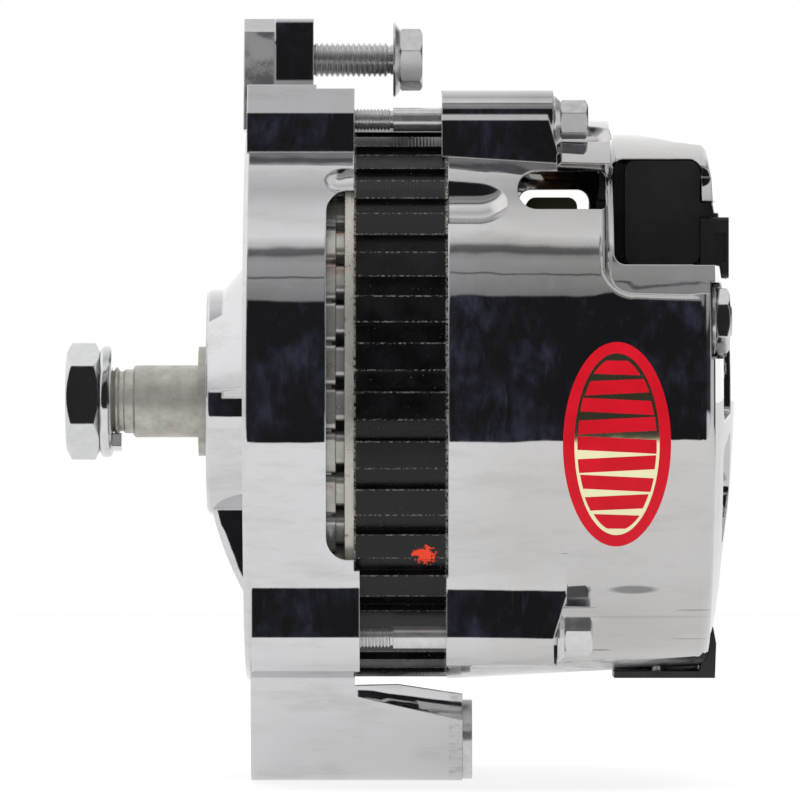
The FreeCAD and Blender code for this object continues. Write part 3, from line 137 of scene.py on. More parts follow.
# ---- node graph helper --------------------------------------------------------------
class Graph:
    """Builds one node tree with short calls; object coordinates are in metres."""

    def __init__(self, tree):
        self.tree = tree
        tree.nodes.clear()

    def node(self, kind, inputs=None, **settings):
        made = self.tree.nodes.new(kind)
        for key, value in settings.items():
            setattr(made, key, value)
        for key, value in (inputs or {}).items():
            self.feed(made.inputs[key], value)
        return made

    def feed(self, socket, value):
        if isinstance(value, bpy.types.NodeSocket):
            self.tree.links.new(value, socket)
        else:
            socket.default_value = value

    def place(self):
        return self.node("ShaderNodeTexCoord").outputs["Object"]

    def axes(self, vector):
        split = self.node("ShaderNodeSeparateXYZ", {"Vector": vector})
        return split.outputs["X"], split.outputs["Y"], split.outputs["Z"]

    def math(self, operation, first, second=0.0, clamp=False):
        made = self.node("ShaderNodeMath", operation=operation, use_clamp=clamp)
        self.feed(made.inputs[0], first)
        if len(made.inputs) > 1:
            self.feed(made.inputs[1], second)
        return made.outputs[0]

    def noise(self, vector, scale, detail, roughness, stretch=(1.0, 1.0, 1.0), shift=0.0):
        moved = self.node("ShaderNodeMapping", {"Vector": vector, "Scale": stretch,
                                                "Location": (shift, shift, shift)})
        made = self.node("ShaderNodeTexNoise", {"Vector": moved.outputs[0], "Scale": scale,
                                                "Detail": detail, "Roughness": roughness})
        return made.outputs["Fac"]

    def ramp(self, value, stops):
        made = self.node("ShaderNodeValToRGB", {"Fac": value})
        elements = made.color_ramp.elements
        while len(elements) < len(stops):
            elements.new(0.5)
        for element, (position, colour) in zip(elements, stops):
            element.position = position
            element.color = rgba(colour)
        return made.outputs["Color"]

    def range(self, value, low, high, out_low=0.0, out_high=1.0, smooth=False):
        kind = "SMOOTHSTEP" if smooth else "LINEAR"
        made = self.node("ShaderNodeMapRange", {"Value": value, "From Min": low, "From Max": high,
                                                "To Min": out_low, "To Max": out_high},
                         interpolation_type=kind, clamp=True)
        return made.outputs["Result"]

    def mix(self, factor, first, second):
        made = self.node("ShaderNodeMix", data_type="RGBA")
        self.feed(made.inputs["Factor"], factor)
        self.feed(made.inputs["A"], first if not isinstance(first, tuple) else rgba(first))
        self.feed(made.inputs["B"], second if not isinstance(second, tuple) else rgba(second))
        return made.outputs["Result"]

    def bump(self, height, strength, distance):
        made = self.node("ShaderNodeBump", {"Height": height, "Strength": strength,
                                            "Distance": distance})
        return made.outputs["Normal"]

    def rounded_bump(self, radius, samples, height, strength, distance):
        """A bump on top of edges that catch the light as if rounded by radius."""
        rounded = self.node("ShaderNodeBevel", {"Radius": radius}, samples=samples).outputs[0]
        made = self.node("ShaderNodeBump", {"Height": height, "Strength": strength,
                                            "Distance": distance, "Normal": rounded})
        return made.outputs["Normal"]


def rgba(colour):
    if isinstance(colour, (int, float)):
        return (colour, colour, colour, 1.0)
    return tuple(colour[:3]) + (1.0,)


def new_material(name):
    material = bpy.data.materials.new(name)
    material.use_nodes = True
    return material, Graph(material.node_tree)


def surface(graph, inputs):
    """The principled shader and the material's output."""
    shader = graph.node("ShaderNodeBsdfPrincipled", inputs)
    graph.node("ShaderNodeOutputMaterial", {"Surface": shader.outputs[0]})


def near_spot(graph, axes, centre, radius):
    """Distance from an oval's centre in shares of its half sizes, and 1 on the near side.

    centre and radius are (x, z) pairs in mm.
    """
    x, y, z = axes
    dx = graph.math("DIVIDE", graph.math("SUBTRACT", x, centre[0] * MM), radius[0] * MM)
    dz = graph.math("DIVIDE", graph.math("SUBTRACT", z, centre[1] * MM), radius[1] * MM)
    distance = graph.math("SQRT", graph.math("ADD", graph.math("MULTIPLY", dx, dx),
                                             graph.math("MULTIPLY", dz, dz)))
    near = graph.math("LESS_THAN", y, 0.0)
    return distance, near


# ---- materials ----------------------------------------------------------------------
def rough_cast(g, place, axes):
    """The unpolished strip along the rear drum's lower edge, and the darker speckles in it."""
    x, y, z = axes
    grain = g.noise(place, 520.0, 5.0, 0.7, stretch=(0.5, 1.0, 1.3), shift=21.0)
    dark_speckle = g.range(grain, 0.46, 0.62)
    strip = g.math("MULTIPLY", g.range(z, -59.8 * MM, -61.0 * MM), g.math("LESS_THAN", y, 0.0))
    strip = g.math("MULTIPLY", strip, g.range(x, 80.0 * MM, 96.0 * MM, 0.3, 1.0))
    strip = g.math("MULTIPLY", strip, g.math("GREATER_THAN", x, 59.0 * MM))
    return strip, g.math("MULTIPLY", strip, dark_speckle)


def dent_shade_and_scrape_mask(g, axes):
    """How strongly the painted shade of the drum's dents, and its scrapes, darken each point."""
    mask = 0.0
    for centre, size, darkness in DENT_SHADE_AND_SCRAPES:
        distance, near = near_spot(g, axes, centre, size)
        spot = g.math("MULTIPLY", g.range(distance, 0.55, 1.05, darkness, 0.0, smooth=True), near)
        mask = g.math("MAXIMUM", mask, spot)
    return mask


def chrome_casting():
    """Polished, plated casting: slightly wavy, with buffing haze, fine scratches, scrapes, and dents
    shown as painted shade.

    A faint blue-grey film is added to the mirror; it shows most in the haze and scratches.
    """
    material, g = new_material("chrome_casting")
    place = g.place()
    axes = g.axes(place)
    patches = g.noise(place, 75.0, 5.0, 0.62, stretch=(1.0, 1.0, 0.8))
    cloudy = g.noise(place, 260.0, 5.0, 0.7, stretch=(1.3, 1.0, 0.6), shift=3.0)
    scratch = g.noise(place, 1400.0, 2.0, 0.5, stretch=(1.0, 1.0, 0.10), shift=7.0)
    smudge = g.noise(place, 120.0, 5.0, 0.65, stretch=(0.35, 1.0, 1.5), shift=13.0)
    haze = g.math("MULTIPLY", g.range(patches, 0.44, 0.64, smooth=True), g.range(cloudy, 0.36, 0.72))
    marks = g.math("ADD", g.math("MULTIPLY", haze, 0.8), g.range(scratch, 0.66, 0.8, 0.0, 0.35))

    towards_rear = g.range(axes[0], 0.045, 0.075)
    tint = g.mix(towards_rear, (0.655, 0.655, 0.665), (0.575, 0.565, 0.555))
    tint = g.mix(g.range(smudge, 0.5, 0.72, 0.0, 0.5), tint, (0.47, 0.46, 0.445))
    # the strip darkens the mirror's colour in speckles along the drum's lower edge
    strip, dark_speckle = rough_cast(g, place, axes)
    tint = g.mix(dark_speckle, tint, (0.17, 0.175, 0.20))
    # dents darken the mirror's colour as painted shade; scrapes darken it as marks
    colour = g.mix(dent_shade_and_scrape_mask(g, axes), tint, (0.16, 0.155, 0.15))

    rough = g.math("ADD", g.range(haze, 0.0, 1.0, 0.018, 0.06),
                   g.range(scratch, 0.62, 0.8, 0.0, 0.04))
    rough = g.math("ADD", rough, g.math("MULTIPLY", strip, 0.32))
    waves = g.math("ADD", g.noise(place, 48.0, 2.0, 0.5, shift=11.0),
                   g.math("MULTIPLY", scratch, 0.012))
    normal = g.rounded_bump(0.6 * MM, 6, waves, 0.16, 0.0009)

    mirror = g.node("ShaderNodeBsdfPrincipled", {"Base Color": colour, "Metallic": 1.0,
                                                 "Roughness": rough, "Normal": normal})
    film = g.mix(marks, (0.002, 0.0022, 0.0034), (0.030, 0.033, 0.058))
    bloom = g.node("ShaderNodeBsdfDiffuse", {"Color": film, "Roughness": 0.0})
    both = g.node("ShaderNodeAddShader")
    g.feed(both.inputs[0], mirror.outputs[0])
    g.feed(both.inputs[1], bloom.outputs[0])
    g.node("ShaderNodeOutputMaterial", {"Surface": both.outputs[0]})
    return material


def zinc_steel():
    """Zinc-plated bolts: satin, with soft clouds and edges that catch the light."""
    material, g = new_material("zinc_steel")
    cloud = g.noise(g.place(), 500.0, 3.0, 0.5)
    normal = g.node("ShaderNodeBevel", {"Radius": 0.35 * MM}, samples=4).outputs[0]
    surface(g, {"Base Color": g.ramp(cloud, [(0.3, (0.60, 0.60, 0.605)), (0.7, (0.70, 0.70, 0.70))]),
                "Metallic": 0.85, "Roughness": g.range(cloud, 0.3, 0.7, 0.17, 0.27),
                "Normal": normal})
    return material


def plated_nut():
    """Bright plated nut and lock washer."""
    material, g = new_material("plated_nut")
    place = g.place()
    cloud = g.noise(place, 420.0, 4.0, 0.6)
    grain = g.noise(place, 2500.0, 3.0, 0.6, shift=2.0)
    surface(g, {"Base Color": g.ramp(cloud, [(0.3, (0.63, 0.64, 0.65)), (0.7, (0.72, 0.72, 0.72))]),
                "Metallic": 0.985, "Roughness": g.range(cloud, 0.3, 0.7, 0.05, 0.12),
                "Normal": g.rounded_bump(0.5 * MM, 6, grain, 0.08, 0.0001)})
    return material


def ground_steel():
    """Ground shaft: fine rings from the wheel and faint oil stains."""
    material, g = new_material("ground_steel")
    place = g.place()
    rings = g.noise(place, 5200.0, 2.0, 0.5, stretch=(1.0, 0.02, 0.02))
    stain = g.noise(place, 240.0, 5.0, 0.65, shift=5.0)
    fleck = g.range(g.noise(place, 1500.0, 3.0, 0.6, shift=17.0), 0.60, 0.72)
    colour = g.ramp(stain, [(0.32, (0.42, 0.40, 0.36)), (0.62, (0.56, 0.54, 0.50))])
    colour = g.mix(g.math("MULTIPLY", fleck, 0.35), colour, (0.24, 0.20, 0.13))
    surface(g, {"Base Color": colour, "Metallic": 0.62,
                "Roughness": g.range(stain, 0.3, 0.7, 0.5, 0.38),
                "Normal": g.bump(rings, 0.25, 0.0001)})
    return material


def bearing_steel():
    """Ground bearing steel with fine rings."""
    material, g = new_material("bearing_steel")
    place = g.place()
    rings = g.noise(place, 4000.0, 2.0, 0.5, stretch=(1.0, 0.05, 0.05))
    surface(g, {"Base Color": g.ramp(rings, [(0.3, 0.5), (0.7, 0.66)]), "Metallic": 1.0,
                "Roughness": g.range(rings, 0.3, 0.7, 0.16, 0.26),
                "Normal": g.bump(rings, 0.1, 0.00008)})
    return material


def round_the_stack(g, axes):
    """Degrees from the nearest land's middle, and radius, at each point of the stack."""
    x, y, z = axes
    turn = g.math("DEGREES", g.math("ARCTAN2", g.math("MULTIPLY", y, -1.0), z))
    step = g.math("SUBTRACT", turn, LAND_CENTRE - LAND_PITCH / 2.0)
    offset = g.math("SUBTRACT", g.math("FLOORED_MODULO", step, LAND_PITCH), LAND_PITCH / 2.0)
    radius = g.math("SQRT", g.math("ADD", g.math("MULTIPLY", y, y), g.math("MULTIPLY", z, z)))
    return g.math("ABSOLUTE", offset), radius


def worn_edges(g, x, offset, radius, fine):
    """Where paint is worn off: along the lands' edges and at both ends of the stack."""
    from_edge = g.math("ABSOLUTE", g.math("SUBTRACT", offset, LAND_HALF))
    land_line = g.math("MULTIPLY", g.range(from_edge, 0.10, 0.20, 1.0, 0.0),
                       g.range(fine, 0.48, 0.6))
    land_line = g.math("MULTIPLY", land_line, g.math("GREATER_THAN", radius, LAND_EDGE_FROM_R * MM))
    front_edge = g.range(x, 37.0 * MM, 37.45 * MM, 1.0, 0.0)
    rear_edge = g.range(x, 57.8 * MM, 58.3 * MM)
    end_line = g.math("MULTIPLY", g.math("MAXIMUM", front_edge, rear_edge),
                      g.range(fine, 0.42, 0.56))
    return g.math("MAXIMUM", g.math("MULTIPLY", land_line, 0.3), g.math("MULTIPLY", end_line, 0.6))


def red_mark(g, place, axes):
    """A ragged dab of red paint on the stack's near side."""
    distance, near = near_spot(g, axes, RED_MARK, RED_MARK_SIZE)
    edge = g.range(g.noise(place, 900.0, 4.0, 0.7), 0.3, 0.7, -0.8, 0.8)
    dab = g.math("MULTIPLY", g.math("LESS_THAN", g.math("ADD", distance, edge), 0.86), near)
    dab = g.math("MULTIPLY", dab, g.math("LESS_THAN", distance, 1.25))
    return g.math("MULTIPLY", dab, g.math("GREATER_THAN", axes[0], 36.9 * MM))


def lamination_lines(g, place, axes):
    """Ribs of the single laminations, on one near land and faintly in a few patches."""
    x, y, z = axes
    lines = g.math("SINE", g.math("MULTIPLY", x, 2.0 * math.pi / (LAMINATION_PITCH * MM)))
    patchy = g.range(g.noise(place, 32.0, 2.0, 0.5, shift=9.0), 0.55, 0.66)
    from_land = g.math("ABSOLUTE", g.math("SUBTRACT", z, RIBBED_LAND_Z * MM))
    ribbed = g.range(from_land, 2.2 * MM, 3.2 * MM, 2.6, 0.0)
    patchy = g.math("MAXIMUM", patchy, g.math("MULTIPLY", ribbed, g.math("LESS_THAN", y, 0.0)))
    return g.math("MULTIPLY", lines, g.math("MULTIPLY", patchy, 0.7))


def stator_surface():
    """Black paint over the stack: bare ends, worn land edges, lamination lines, dust specks, and
    denser light specks in the grooves as painted glints.
    """
    material, g = new_material("black_paint")
    place = g.place()
    axes = g.axes(place)
    x = axes[0]
    offset, radius = round_the_stack(g, axes)
    in_groove = g.math("MULTIPLY", g.math("GREATER_THAN", offset, LAND_HALF),
                       g.math("GREATER_THAN", radius, GROOVE_FROM_R * MM))
    cloud = g.noise(place, 160.0, 4.0, 0.6)
    fine = g.noise(place, 1300.0, 4.0, 0.65, shift=6.0)
    specks = g.range(g.noise(place, 2300.0, 3.0, 0.6, shift=1.0), 0.70, 0.75)
    rust = g.range(g.noise(place, 420.0, 5.0, 0.7, shift=14.0), 0.6, 0.7)

    paint = g.ramp(cloud, [(0.3, (0.0022, 0.0022, 0.0026)), (0.7, (0.0048, 0.005, 0.006))])
    # light specks: sparse dust over the stack, and painted glints where they are denser in the grooves
    dust_and_glint_specks = g.math("MULTIPLY", specks, g.range(in_groove, 0.0, 1.0, 0.25, 0.6))
    paint_with_dust_and_glints = g.mix(dust_and_glint_specks, paint, (0.42, 0.42, 0.42))
    bare = g.mix(rust, (0.50, 0.48, 0.44), (0.17, 0.095, 0.05))
    end_band = g.math("MAXIMUM", g.math("LESS_THAN", x, BARE_END_X[0] * MM),
                      g.math("GREATER_THAN", x, BARE_END_X[1] * MM))
    bare_area = g.math("MAXIMUM", end_band, worn_edges(g, x, offset, radius, fine))
    dab = red_mark(g, place, axes)
    colour = g.mix(dab, g.mix(bare_area, paint_with_dust_and_glints, bare), (0.86, 0.05, 0.012))
    metal = g.math("SUBTRACT", bare_area, dab, clamp=True)

    height = g.math("ADD", lamination_lines(g, place, axes),
                    g.math("ADD", g.math("MULTIPLY", cloud, 0.6), g.math("MULTIPLY", dab, 0.6)))
    height = g.math("ADD", height, g.math("MULTIPLY", fine, g.range(in_groove, 0.0, 1.0, 0.25, 1.6)))
    surface(g, {"Base Color": colour, "Metallic": g.math("MULTIPLY", metal, 0.6),
                "Roughness": g.range(cloud, 0.3, 0.7, 0.20, 0.34),
                "Specular IOR Level": 0.32,
                "Normal": g.rounded_bump(0.3 * MM, 4, height, 0.35, 0.00014)})
    return material


def lacquered_winding():
    """Resin-dipped winding bars, grey with brown tints near the core."""
    material, g = new_material("lacquered_winding")
    place = g.place()
    cloud = g.noise(place, 150.0, 3.0, 0.5)
    streak = g.noise(place, 500.0, 3.0, 0.5, stretch=(0.25, 1.0, 1.0), shift=8.0)
    grey = g.ramp(streak, [(0.3, (0.40, 0.385, 0.36)), (0.7, (0.50, 0.485, 0.46))])
    colour = g.mix(g.range(cloud, 0.56, 0.70, 0.0, 0.85), grey, (0.25, 0.13, 0.08))
    surface(g, {"Base Color": colour, "Metallic": 0.7,
                "Roughness": g.range(cloud, 0.3, 0.7, 0.2, 0.3), "Coat Weight": 0.3,
                "Coat Roughness": 0.2,
                "Normal": g.rounded_bump(0.4 * MM, 4, streak, 0.12, 0.0002)})
    return material


def metal_part(name, dark, light, rough, metallic=1.0):
    """A plain metal with soft clouds of tone and a fine grain."""
    material, g = new_material(name)
    place = g.place()
    cloud = g.noise(place, 500.0, 4.0, 0.6)
    grain = g.noise(place, 3000.0, 2.0, 0.5, shift=3.0)
    surface(g, {"Base Color": g.ramp(cloud, [(0.3, dark), (0.7, light)]), "Metallic": metallic,
                "Roughness": g.range(cloud, 0.3, 0.7, rough[0], rough[1]),
                "Normal": g.bump(grain, 0.15, 0.0001)})
    return material


def copper():
    """Copper wire; its turns are ridges spaced evenly along the shaft."""
    material, g = new_material("copper")
    place = g.place()
    winding = g.math("SINE", g.math("MULTIPLY", g.axes(place)[0], 2.0 * math.pi / (WIRE_PITCH * MM)))
    cloud = g.noise(place, 300.0, 4.0, 0.6)
    surface(g, {"Base Color": g.ramp(cloud, [(0.3, (0.42, 0.17, 0.08)), (0.7, (0.62, 0.30, 0.16))]),
                "Metallic": 0.9, "Roughness": g.range(cloud, 0.3, 0.7, 0.22, 0.4),
                "Normal": g.bump(winding, 0.3, 0.0002)})
    return material


def moulded(name, dark, light, rough, specular=0.5):
    """Moulded plastic: faint flow clouds and a spark-eroded grain."""
    material, g = new_material(name)
    place = g.place()
    cloud = g.noise(place, 120.0, 4.0, 0.6)
    grain = g.noise(place, 2600.0, 3.0, 0.6, shift=5.0)
    dust = g.range(g.noise(place, 3200.0, 2.0, 0.5, shift=21.0), 0.74, 0.8, 0.0, 0.35)
    tone = g.ramp(cloud, [(0.3, dark), (0.7, light)])
    surface(g, {"Base Color": g.mix(dust, tone, (0.25, 0.25, 0.25)),
                "Roughness": g.range(cloud, 0.3, 0.7, rough[0], rough[1]),
                "Specular IOR Level": specular, "Normal": g.bump(grain, 0.25, 0.00012)})
    return material


def all_materials():
    """The materials by the names of the record's material slots."""
    return {
        "chrome_casting": chrome_casting(), "zinc_steel": zinc_steel(), "plated_nut": plated_nut(),
        "ground_steel": ground_steel(), "bearing_steel": bearing_steel(),
        "cage_brass": metal_part("cage_brass", (0.5, 0.36, 0.14), (0.66, 0.5, 0.22), (0.25, 0.4)),
        "black_paint": stator_surface(), "lacquered_winding": lacquered_winding(),
        "copper": copper(),
        "lead_sleeve": moulded("lead_sleeve", (0.30, 0.15, 0.06), (0.42, 0.22, 0.09), (0.35, 0.5)),
        "pole_iron": metal_part("pole_iron", (0.10, 0.10, 0.10), (0.2, 0.2, 0.2), (0.45, 0.65)),
        "fan_steel": metal_part("fan_steel", (0.36, 0.36, 0.37), (0.5, 0.5, 0.5), (0.25, 0.4)),
        "carbon": metal_part("carbon", (0.03, 0.03, 0.03), (0.06, 0.06, 0.06), (0.5, 0.7),
                             metallic=0.2),
        "raw_aluminium": metal_part("raw_aluminium", (0.5, 0.5, 0.51), (0.66, 0.66, 0.67),
                                    (0.3, 0.45)),
        "diode_cup": metal_part("diode_cup", (0.45, 0.36, 0.3), (0.6, 0.5, 0.42), (0.25, 0.4)),
        "moulded_black": moulded("moulded_black", (0.012, 0.012, 0.013), (0.022, 0.022, 0.024),
                                 (0.38, 0.52)),
        "regulator_plastic": moulded("regulator_plastic", (0.0085, 0.009, 0.0095),
                                     (0.0125, 0.013, 0.014), (0.42, 0.55), specular=0.4),
        "pin_brass": metal_part("pin_brass", (0.6, 0.55, 0.4), (0.72, 0.68, 0.55), (0.2, 0.3)),
        "olive_plastic": moulded("olive_plastic", (0.02, 0.021, 0.008), (0.04, 0.042, 0.016),
                                 (0.35, 0.5)),
        "label_film": label_red(),
    }


def label_red():
    """Red print on the label's film."""
    material, g = new_material("label_red")
    place = g.place()
    cloud = g.noise(place, 150.0, 3.0, 0.5)
    surface(g, {"Base Color": g.ramp(cloud, [(0.3, (0.60, 0.003, 0.014)), (0.7, (0.70, 0.005, 0.02))]),
                "Roughness": 0.45, "Specular IOR Level": 0.2,
                "Normal": g.bump(cloud, 0.05, 0.0002)})
    return material


def label_foil():
    """Pale foil ground of the label; it mirrors the room with a yellow cast."""
    material, g = new_material("label_foil")
    place = g.place()
    cloud = g.noise(place, 300.0, 3.0, 0.5)
    surface(g, {"Base Color": g.ramp(cloud, [(0.3, (0.84, 0.80, 0.50)), (0.7, (0.88, 0.84, 0.54))]),
                "Metallic": 0.975, "Roughness": 0.10, "Normal": g.bump(cloud, 0.04, 0.0002)})
    return material


# ---- meshes -------------------------------------------------------------------------
def add_mesh(name, vertices, faces, material):
    """A new object with this mesh and material, linked into the scene."""
    mesh = bpy.data.meshes.new(name)
    mesh.from_pydata(vertices, [], faces)
    mesh.materials.append(material)
    made = bpy.data.objects.new(name, mesh)
    bpy.context.scene.collection.objects.link(made)
    return made


# ---- oval label ---------------------------------------------------------------------
def drum_radius(x):
    """Outer radius of the rear drum with its casting draft."""
    share = (x / MM - DRUM_FRONT[0]) / (DRUM_REAR[0] - DRUM_FRONT[0])
    return (DRUM_FRONT[1] + (DRUM_REAR[1] - DRUM_FRONT[1]) * share) * MM


def wrap(x, z, lift):
    """The point at (x, z) on the drum's near side, lifted off it."""
    radius = drum_radius(x) + lift
    return (x, -math.sqrt(radius * radius - z * z), z)


def patch_mesh(name, rings, closed_centre, thickness, material):
    """A thin plate on the drum built from closed loops of (x, z) points, inner loop last.

    Its faces are smooth and its walls flat, so the shading does not tilt at the edge.
    """
    vertices = []
    faces = []
    count = len(rings[0])
    for darkness in (PLATE_LIFT + thickness, PLATE_LIFT):
        for ring in rings:
            vertices += [wrap(x, z, darkness) for x, z in ring]
    layer = count * len(rings)
    for side in (0, 1):
        base = side * layer
        for row in range(len(rings) - 1):
            for step in range(count):
                a = base + row * count + step
                b = base + row * count + (step + 1) % count
                quad = (a, b, b + count, a + count)
                faces.append(quad[::-1] if side else quad)
        if closed_centre:
            inner = [base + (len(rings) - 1) * count + step for step in range(count)]
            faces.append(inner[::-1] if side else inner)
    flat_from = len(faces)
    edges = [0] if closed_centre else [0, len(rings) - 1]
    for row in edges:
        for step in range(count):
            a = row * count + step
            b = row * count + (step + 1) % count
            quad = (a, b, b + layer, a + layer)
            faces.append(quad[::-1] if row == 0 else quad)
    piece = add_mesh(name, vertices, faces, material)
    for polygon in piece.data.polygons[:flat_from]:
        polygon.use_smooth = True
    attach(piece, "housing")
    return piece


def oval_label(red, foil):
    """The label's red border and foil field; returns the oval's centre and half sizes."""
    low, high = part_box("oval_label")
    centre_x = (low.x + high.x) / 2.0
    centre_z = (low.z + high.z) / 2.0
    half_x = (high.x - low.x) / 2.0
    half_z = (high.z - low.z) / 2.0

    def oval(share_x, share_z):
        points = []
        for step in range(OVAL_STEPS):
            angle = 2.0 * math.pi * step / OVAL_STEPS
            points.append((centre_x + half_x * share_x * math.cos(angle),
                           centre_z + half_z * share_z * math.sin(angle)))
        return points

    inner_x = 1.0 - BORDER_WIDTH * MM / half_x
    inner_z = 1.0 - BORDER_WIDTH * MM / half_z
    across = [0.0, EDGE_RING, 0.5, 1.0 - EDGE_RING, 1.0]
    border_rings = [oval(1.0 + (inner_x - 1.0) * share, 1.0 + (inner_z - 1.0) * share)
                    for share in across]
    border = patch_mesh("label_border", border_rings, False, BORDER_THICK, red)
    shares = [1.0, 1.0 - EDGE_RING / 8.0] + [1.0 - 0.125 * row for row in range(1, 8)]
    field_rings = [oval(inner_x * share, inner_z * share) for share in shares]
    patch_mesh("label_field", field_rings, True, FIELD_THICK, foil)
    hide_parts("oval_label")
    return centre_x, centre_z, half_x, half_z


def label_bars(place, red):
    """Plain slanted bars that fill the oval's field, each one cut to the field's outline."""
    centre_x, centre_z, half_x, half_z = place
    reach_x = half_x - BARS_INSET[0] * MM
    reach_z = half_z - BARS_INSET[1] * MM
    pitch = 2.0 * reach_z / BAR_COUNT
    for row in range(BAR_COUNT):
        low = -reach_z + pitch * (row + BAR_SPAN[0])
        high = -reach_z + pitch * (row + BAR_SPAN[1])
        outline = []
        steps = 10
        for step in range(steps + 1):
            z = low + (high - low) * step / steps
            outline.append((reach_x * math.sqrt(max(0.0, 1.0 - (z / reach_z) ** 2)), z))
        corners = outline + [(-x, z) for x, z in reversed(outline)]
        lean = BAR_LEAN if row % 2 else -BAR_LEAN
        points = []
        for first, second in zip(corners, corners[1:] + corners[:1]):
            parts = 8 if abs(first[0] - second[0]) > abs(first[1] - second[1]) + 1 * MM else 1
            for part in range(parts):
                share = part / parts
                x = first[0] + (second[0] - first[0]) * share
                z = first[1] + (second[1] - first[1]) * share
                inside = 1.0 - min(1.0, abs(z) / reach_z) ** 6
                points.append((x, z + lean * x * inside * 0.5))
        middle = (low + high) / 2.0
        rings = [[(centre_x + x * share, centre_z + middle + (z - middle) * share)
                  for x, z in points] for share in (1.0, 1.0 - EDGE_RING, 0.66, 0.33, 0.05)]
        patch_mesh("label_bar_%d" % row, rings, True, BAR_THICK, red)


# ---- brush springs ------------------------------------------------------------------
def brush_spring(which, material):
    """A coil spring behind one brush."""
    low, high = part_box("brush_spring_" + which)
    anchor = Vector(((low.x + high.x) / 2.0, (low.y + high.y) / 2.0, SPRING_FIXED_END_Z))
    coil_r = (high.x - low.x) / 2.0 - SPRING_WIRE_R - SPRING_CLEARANCE
    foot = low.z + SPRING_WIRE_R + SPRING_CLEARANCE
    rise = high.z - foot - SPRING_WIRE_R - 2.0 * SPRING_CLEARANCE
    steps = int(SPRING_COILS * 28)
    around_wire = 10
    vertices = []
    faces = []
    for step in range(steps + 1):
        share = step / steps
        angle = 2.0 * math.pi * SPRING_COILS * share
        eased = min(1.0, max(0.0, (share - 0.12) / 0.76))
        out = Vector((math.cos(angle), math.sin(angle), 0.0))
        middle = Vector((anchor.x, anchor.y, foot + rise * eased)) + out * coil_r
        for corner in range(around_wire):
            turn = 2.0 * math.pi * corner / around_wire
            across = out * math.cos(turn) + Vector((0.0, 0.0, math.sin(turn)))
            vertices.append(middle + across * SPRING_WIRE_R)
    for step in range(steps):
        for corner in range(around_wire):
            a = step * around_wire + corner
            b = step * around_wire + (corner + 1) % around_wire
            faces.append((a, a + around_wire, b + around_wire, b))
    faces.append(tuple(range(around_wire)))
    faces.append(tuple(steps * around_wire + corner for corner in reversed(range(around_wire))))
    piece = add_mesh("coil_spring_" + which, vertices, faces, material)
    for polygon in piece.data.polygons:
        polygon.use_smooth = True
    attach(piece, "housing")
    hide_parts("brush_spring_" + which)
    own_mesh(piece)


# ---- stage --------------------------------------------------------------------------
def camera():
    """A long lens that looks level along +y, so the view is nearly flat."""
    data = bpy.data.cameras.new("camera")
    data.sensor_width = SENSOR
    data.lens = SENSOR * CAMERA_DISTANCE / FIELD_WIDTH
    data.clip_end = 20.0
    made = bpy.data.objects.new("camera", data)
    made.location = VIEW_CENTRE + Vector((0.0, -CAMERA_DISTANCE, 0.0))
    made.rotation_euler = (math.radians(90.0), 0.0, 0.0)
    bpy.context.scene.collection.objects.link(made)
    bpy.context.scene.camera = made


def floor():
    """A pale floor just under the part; the camera sees it brighter than the part mirrors it."""
    material, g = new_material("floor")
    seen = g.node("ShaderNodeLightPath").outputs["Is Camera Ray"]
    surface(g, {"Base Color": rgba(0.27), "Roughness": 0.8, "Specular IOR Level": 0.0,
                "Emission Color": rgba(1.0),
                "Emission Strength": g.range(seen, 0.0, 1.0, 0.67, 0.79)})
    left, right = FLOOR_X
    low = CAD_BOX[0][2] - FLOOR_DROP
    corners = [(left, FLOOR_NEAR_EDGE, low), (right, FLOOR_NEAR_EDGE, low),
               (right, FLOOR_FAR_EDGE, low), (left, FLOOR_FAR_EDGE, low)]
    made = add_mesh("floor", corners, [(0, 1, 2, 3)], material)


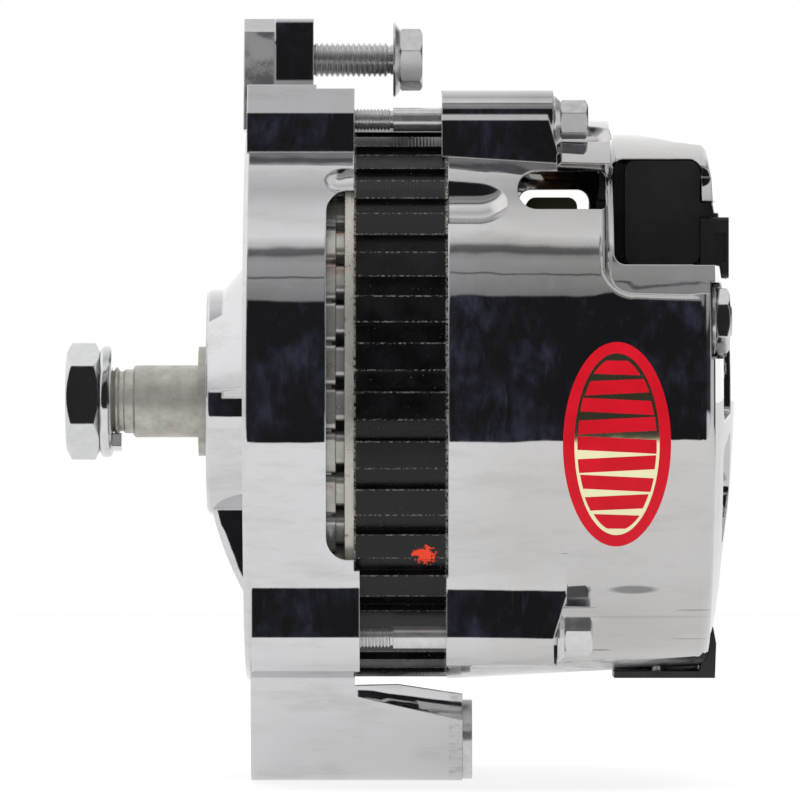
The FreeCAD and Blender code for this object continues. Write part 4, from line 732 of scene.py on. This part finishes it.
def room():
    """A white room with a dark wall on the near side and long soft lights overhead."""
    world = bpy.data.worlds.new("room")
    bpy.context.scene.world = world
    world.use_nodes = True
    g = Graph(world.node_tree)
    direction = g.node("ShaderNodeTexCoord").outputs["Generated"]
    x, y, z = g.axes(direction)
    level_turn = g.math("DEGREES", g.math("ARCTAN2", z, g.math("MULTIPLY", y, -1.0)))
    slant = g.math("MULTIPLY", g.range(x, 0.0, 0.3), 10.0)
    turn = g.math("SUBTRACT", level_turn, g.math("MULTIPLY", slant, g.range(z, 0.0, 0.2)))
    first, last = 30.0, 110.0

    def share(angle):
        return (angle - first) / (last - first)
    upper = g.ramp(g.range(turn, first, last), [
        (share(angle), value) for angle, value in
        [(30, DARK), (40.8, DARK), (41.6, 0.27), (44, 0.30), (50, 0.36), (58, 0.42), (60.5, 0.36),
         (62, 0.13), (64.5, 0.17), (66.5, 0.66), (71, 0.95), (86, 0.78), (96, 0.60), (104, 0.70),
         (110, 0.80)]])
    seam = g.range(g.math("ABSOLUTE", g.math("SUBTRACT", turn, 51.5)), 0.25, 0.6, 0.25, 1.0)
    upper = g.mix(seam, (0.05, 0.05, 0.05), upper)
    lower = g.ramp(g.range(turn, -180.0, -10.0), [(0.0, 0.85), (0.8, 0.74), (0.94, 0.70),
                                                  (0.955, DARK), (1.0, DARK)])
    behind = g.ramp(g.range(turn, 110.0, 180.0), [(0.0, 0.80), (0.55, 1.05), (1.0, 1.2)])
    near_far = g.mix(g.math("GREATER_THAN", turn, 0.0), lower, upper)
    near_far = g.mix(g.math("GREATER_THAN", turn, last), near_far, behind)
    height = g.range(g.math("ARCSINE", z), -math.pi / 2.0, math.pi / 2.0)

    def level(angle):
        return (angle + 90.0) / 180.0
    side_right = g.ramp(height, [(level(angle), value) for angle, value in
                                 [(-90, 0.9), (-6, 0.85), (-3, 0.03), (26, 0.03), (30, 0.35),
                                  (42, 0.5), (46, 0.18), (50, 0.8), (90, 0.75)]])
    side_left = g.ramp(height, [(level(-90), 0.9), (level(0), 0.8), (level(20), 1.1),
                                (level(50), 1.2), (level(90), 0.8)])
    end_on = g.range(g.math("ABSOLUTE", x), 0.86, 0.95, smooth=True)
    right = g.mix(end_on, side_right, (0.75, 0.75, 0.76))
    left_dark = g.range(y, -0.35, -0.15, 1.0, 0.0, smooth=True)
    left = g.mix(left_dark, side_left, near_far)
    sides = g.mix(g.math("GREATER_THAN", x, 0.0), left, right)
    blend = g.range(g.math("ABSOLUTE", x), 0.34, 0.5, smooth=True)
    colour = g.mix(blend, near_far, sides)
    seen = g.node("ShaderNodeLightPath").outputs["Is Camera Ray"]
    reflected = g.node("ShaderNodeBackground", {"Color": colour, "Strength": 1.0})
    backdrop = g.node("ShaderNodeBackground", {"Color": rgba(1.0), "Strength": 1.0})
    chosen = g.node("ShaderNodeMixShader", {"Fac": seen})
    g.feed(chosen.inputs[1], reflected.outputs[0])
    g.feed(chosen.inputs[2], backdrop.outputs[0])
    g.node("ShaderNodeOutputWorld", {"Surface": chosen.outputs[0]})


def soft_light(name, place, aim, size, power):
    """A rectangular lamp pointed at aim; the metal does not mirror it."""
    data = bpy.data.lights.new(name, "AREA")
    data.shape = "RECTANGLE"
    data.size = size[0]
    data.size_y = size[1]
    data.energy = power
    made = bpy.data.objects.new(name, data)
    made.location = place
    made.rotation_euler = (Vector(aim) - Vector(place)).to_track_quat("-Z", "Y").to_euler()
    made.visible_glossy = False
    bpy.context.scene.collection.objects.link(made)


# ---- build --------------------------------------------------------------------------
materials = all_materials()
seal_black = moulded("seal_black", (0.003, 0.003, 0.0035), (0.005, 0.005, 0.0055), (0.3, 0.4))
for name, node in NODES.items():
    for slot in node.material_slots:
        slot.material = seal_black if name == "pocket_seal" else materials[SLOT_OF_NODE[name]]

label_place = oval_label(materials["label_film"], label_foil())
label_bars(label_place, materials["label_film"])
for which in ("inner", "outer"):
    brush_spring(which, materials[SLOT_OF_NODE["brush_spring_" + which]])

room()
floor()
soft_light("overhead", (0.1, -0.4, 1.4), (0.05, 0.0, 0.0), (1.2, 0.8), 9.0)
soft_light("front", (0.0, -1.6, 0.5), (0.05, 0.0, 0.0), (1.0, 1.0), 14.0)
camera()
bpy.context.scene.view_settings.view_transform = "Standard"
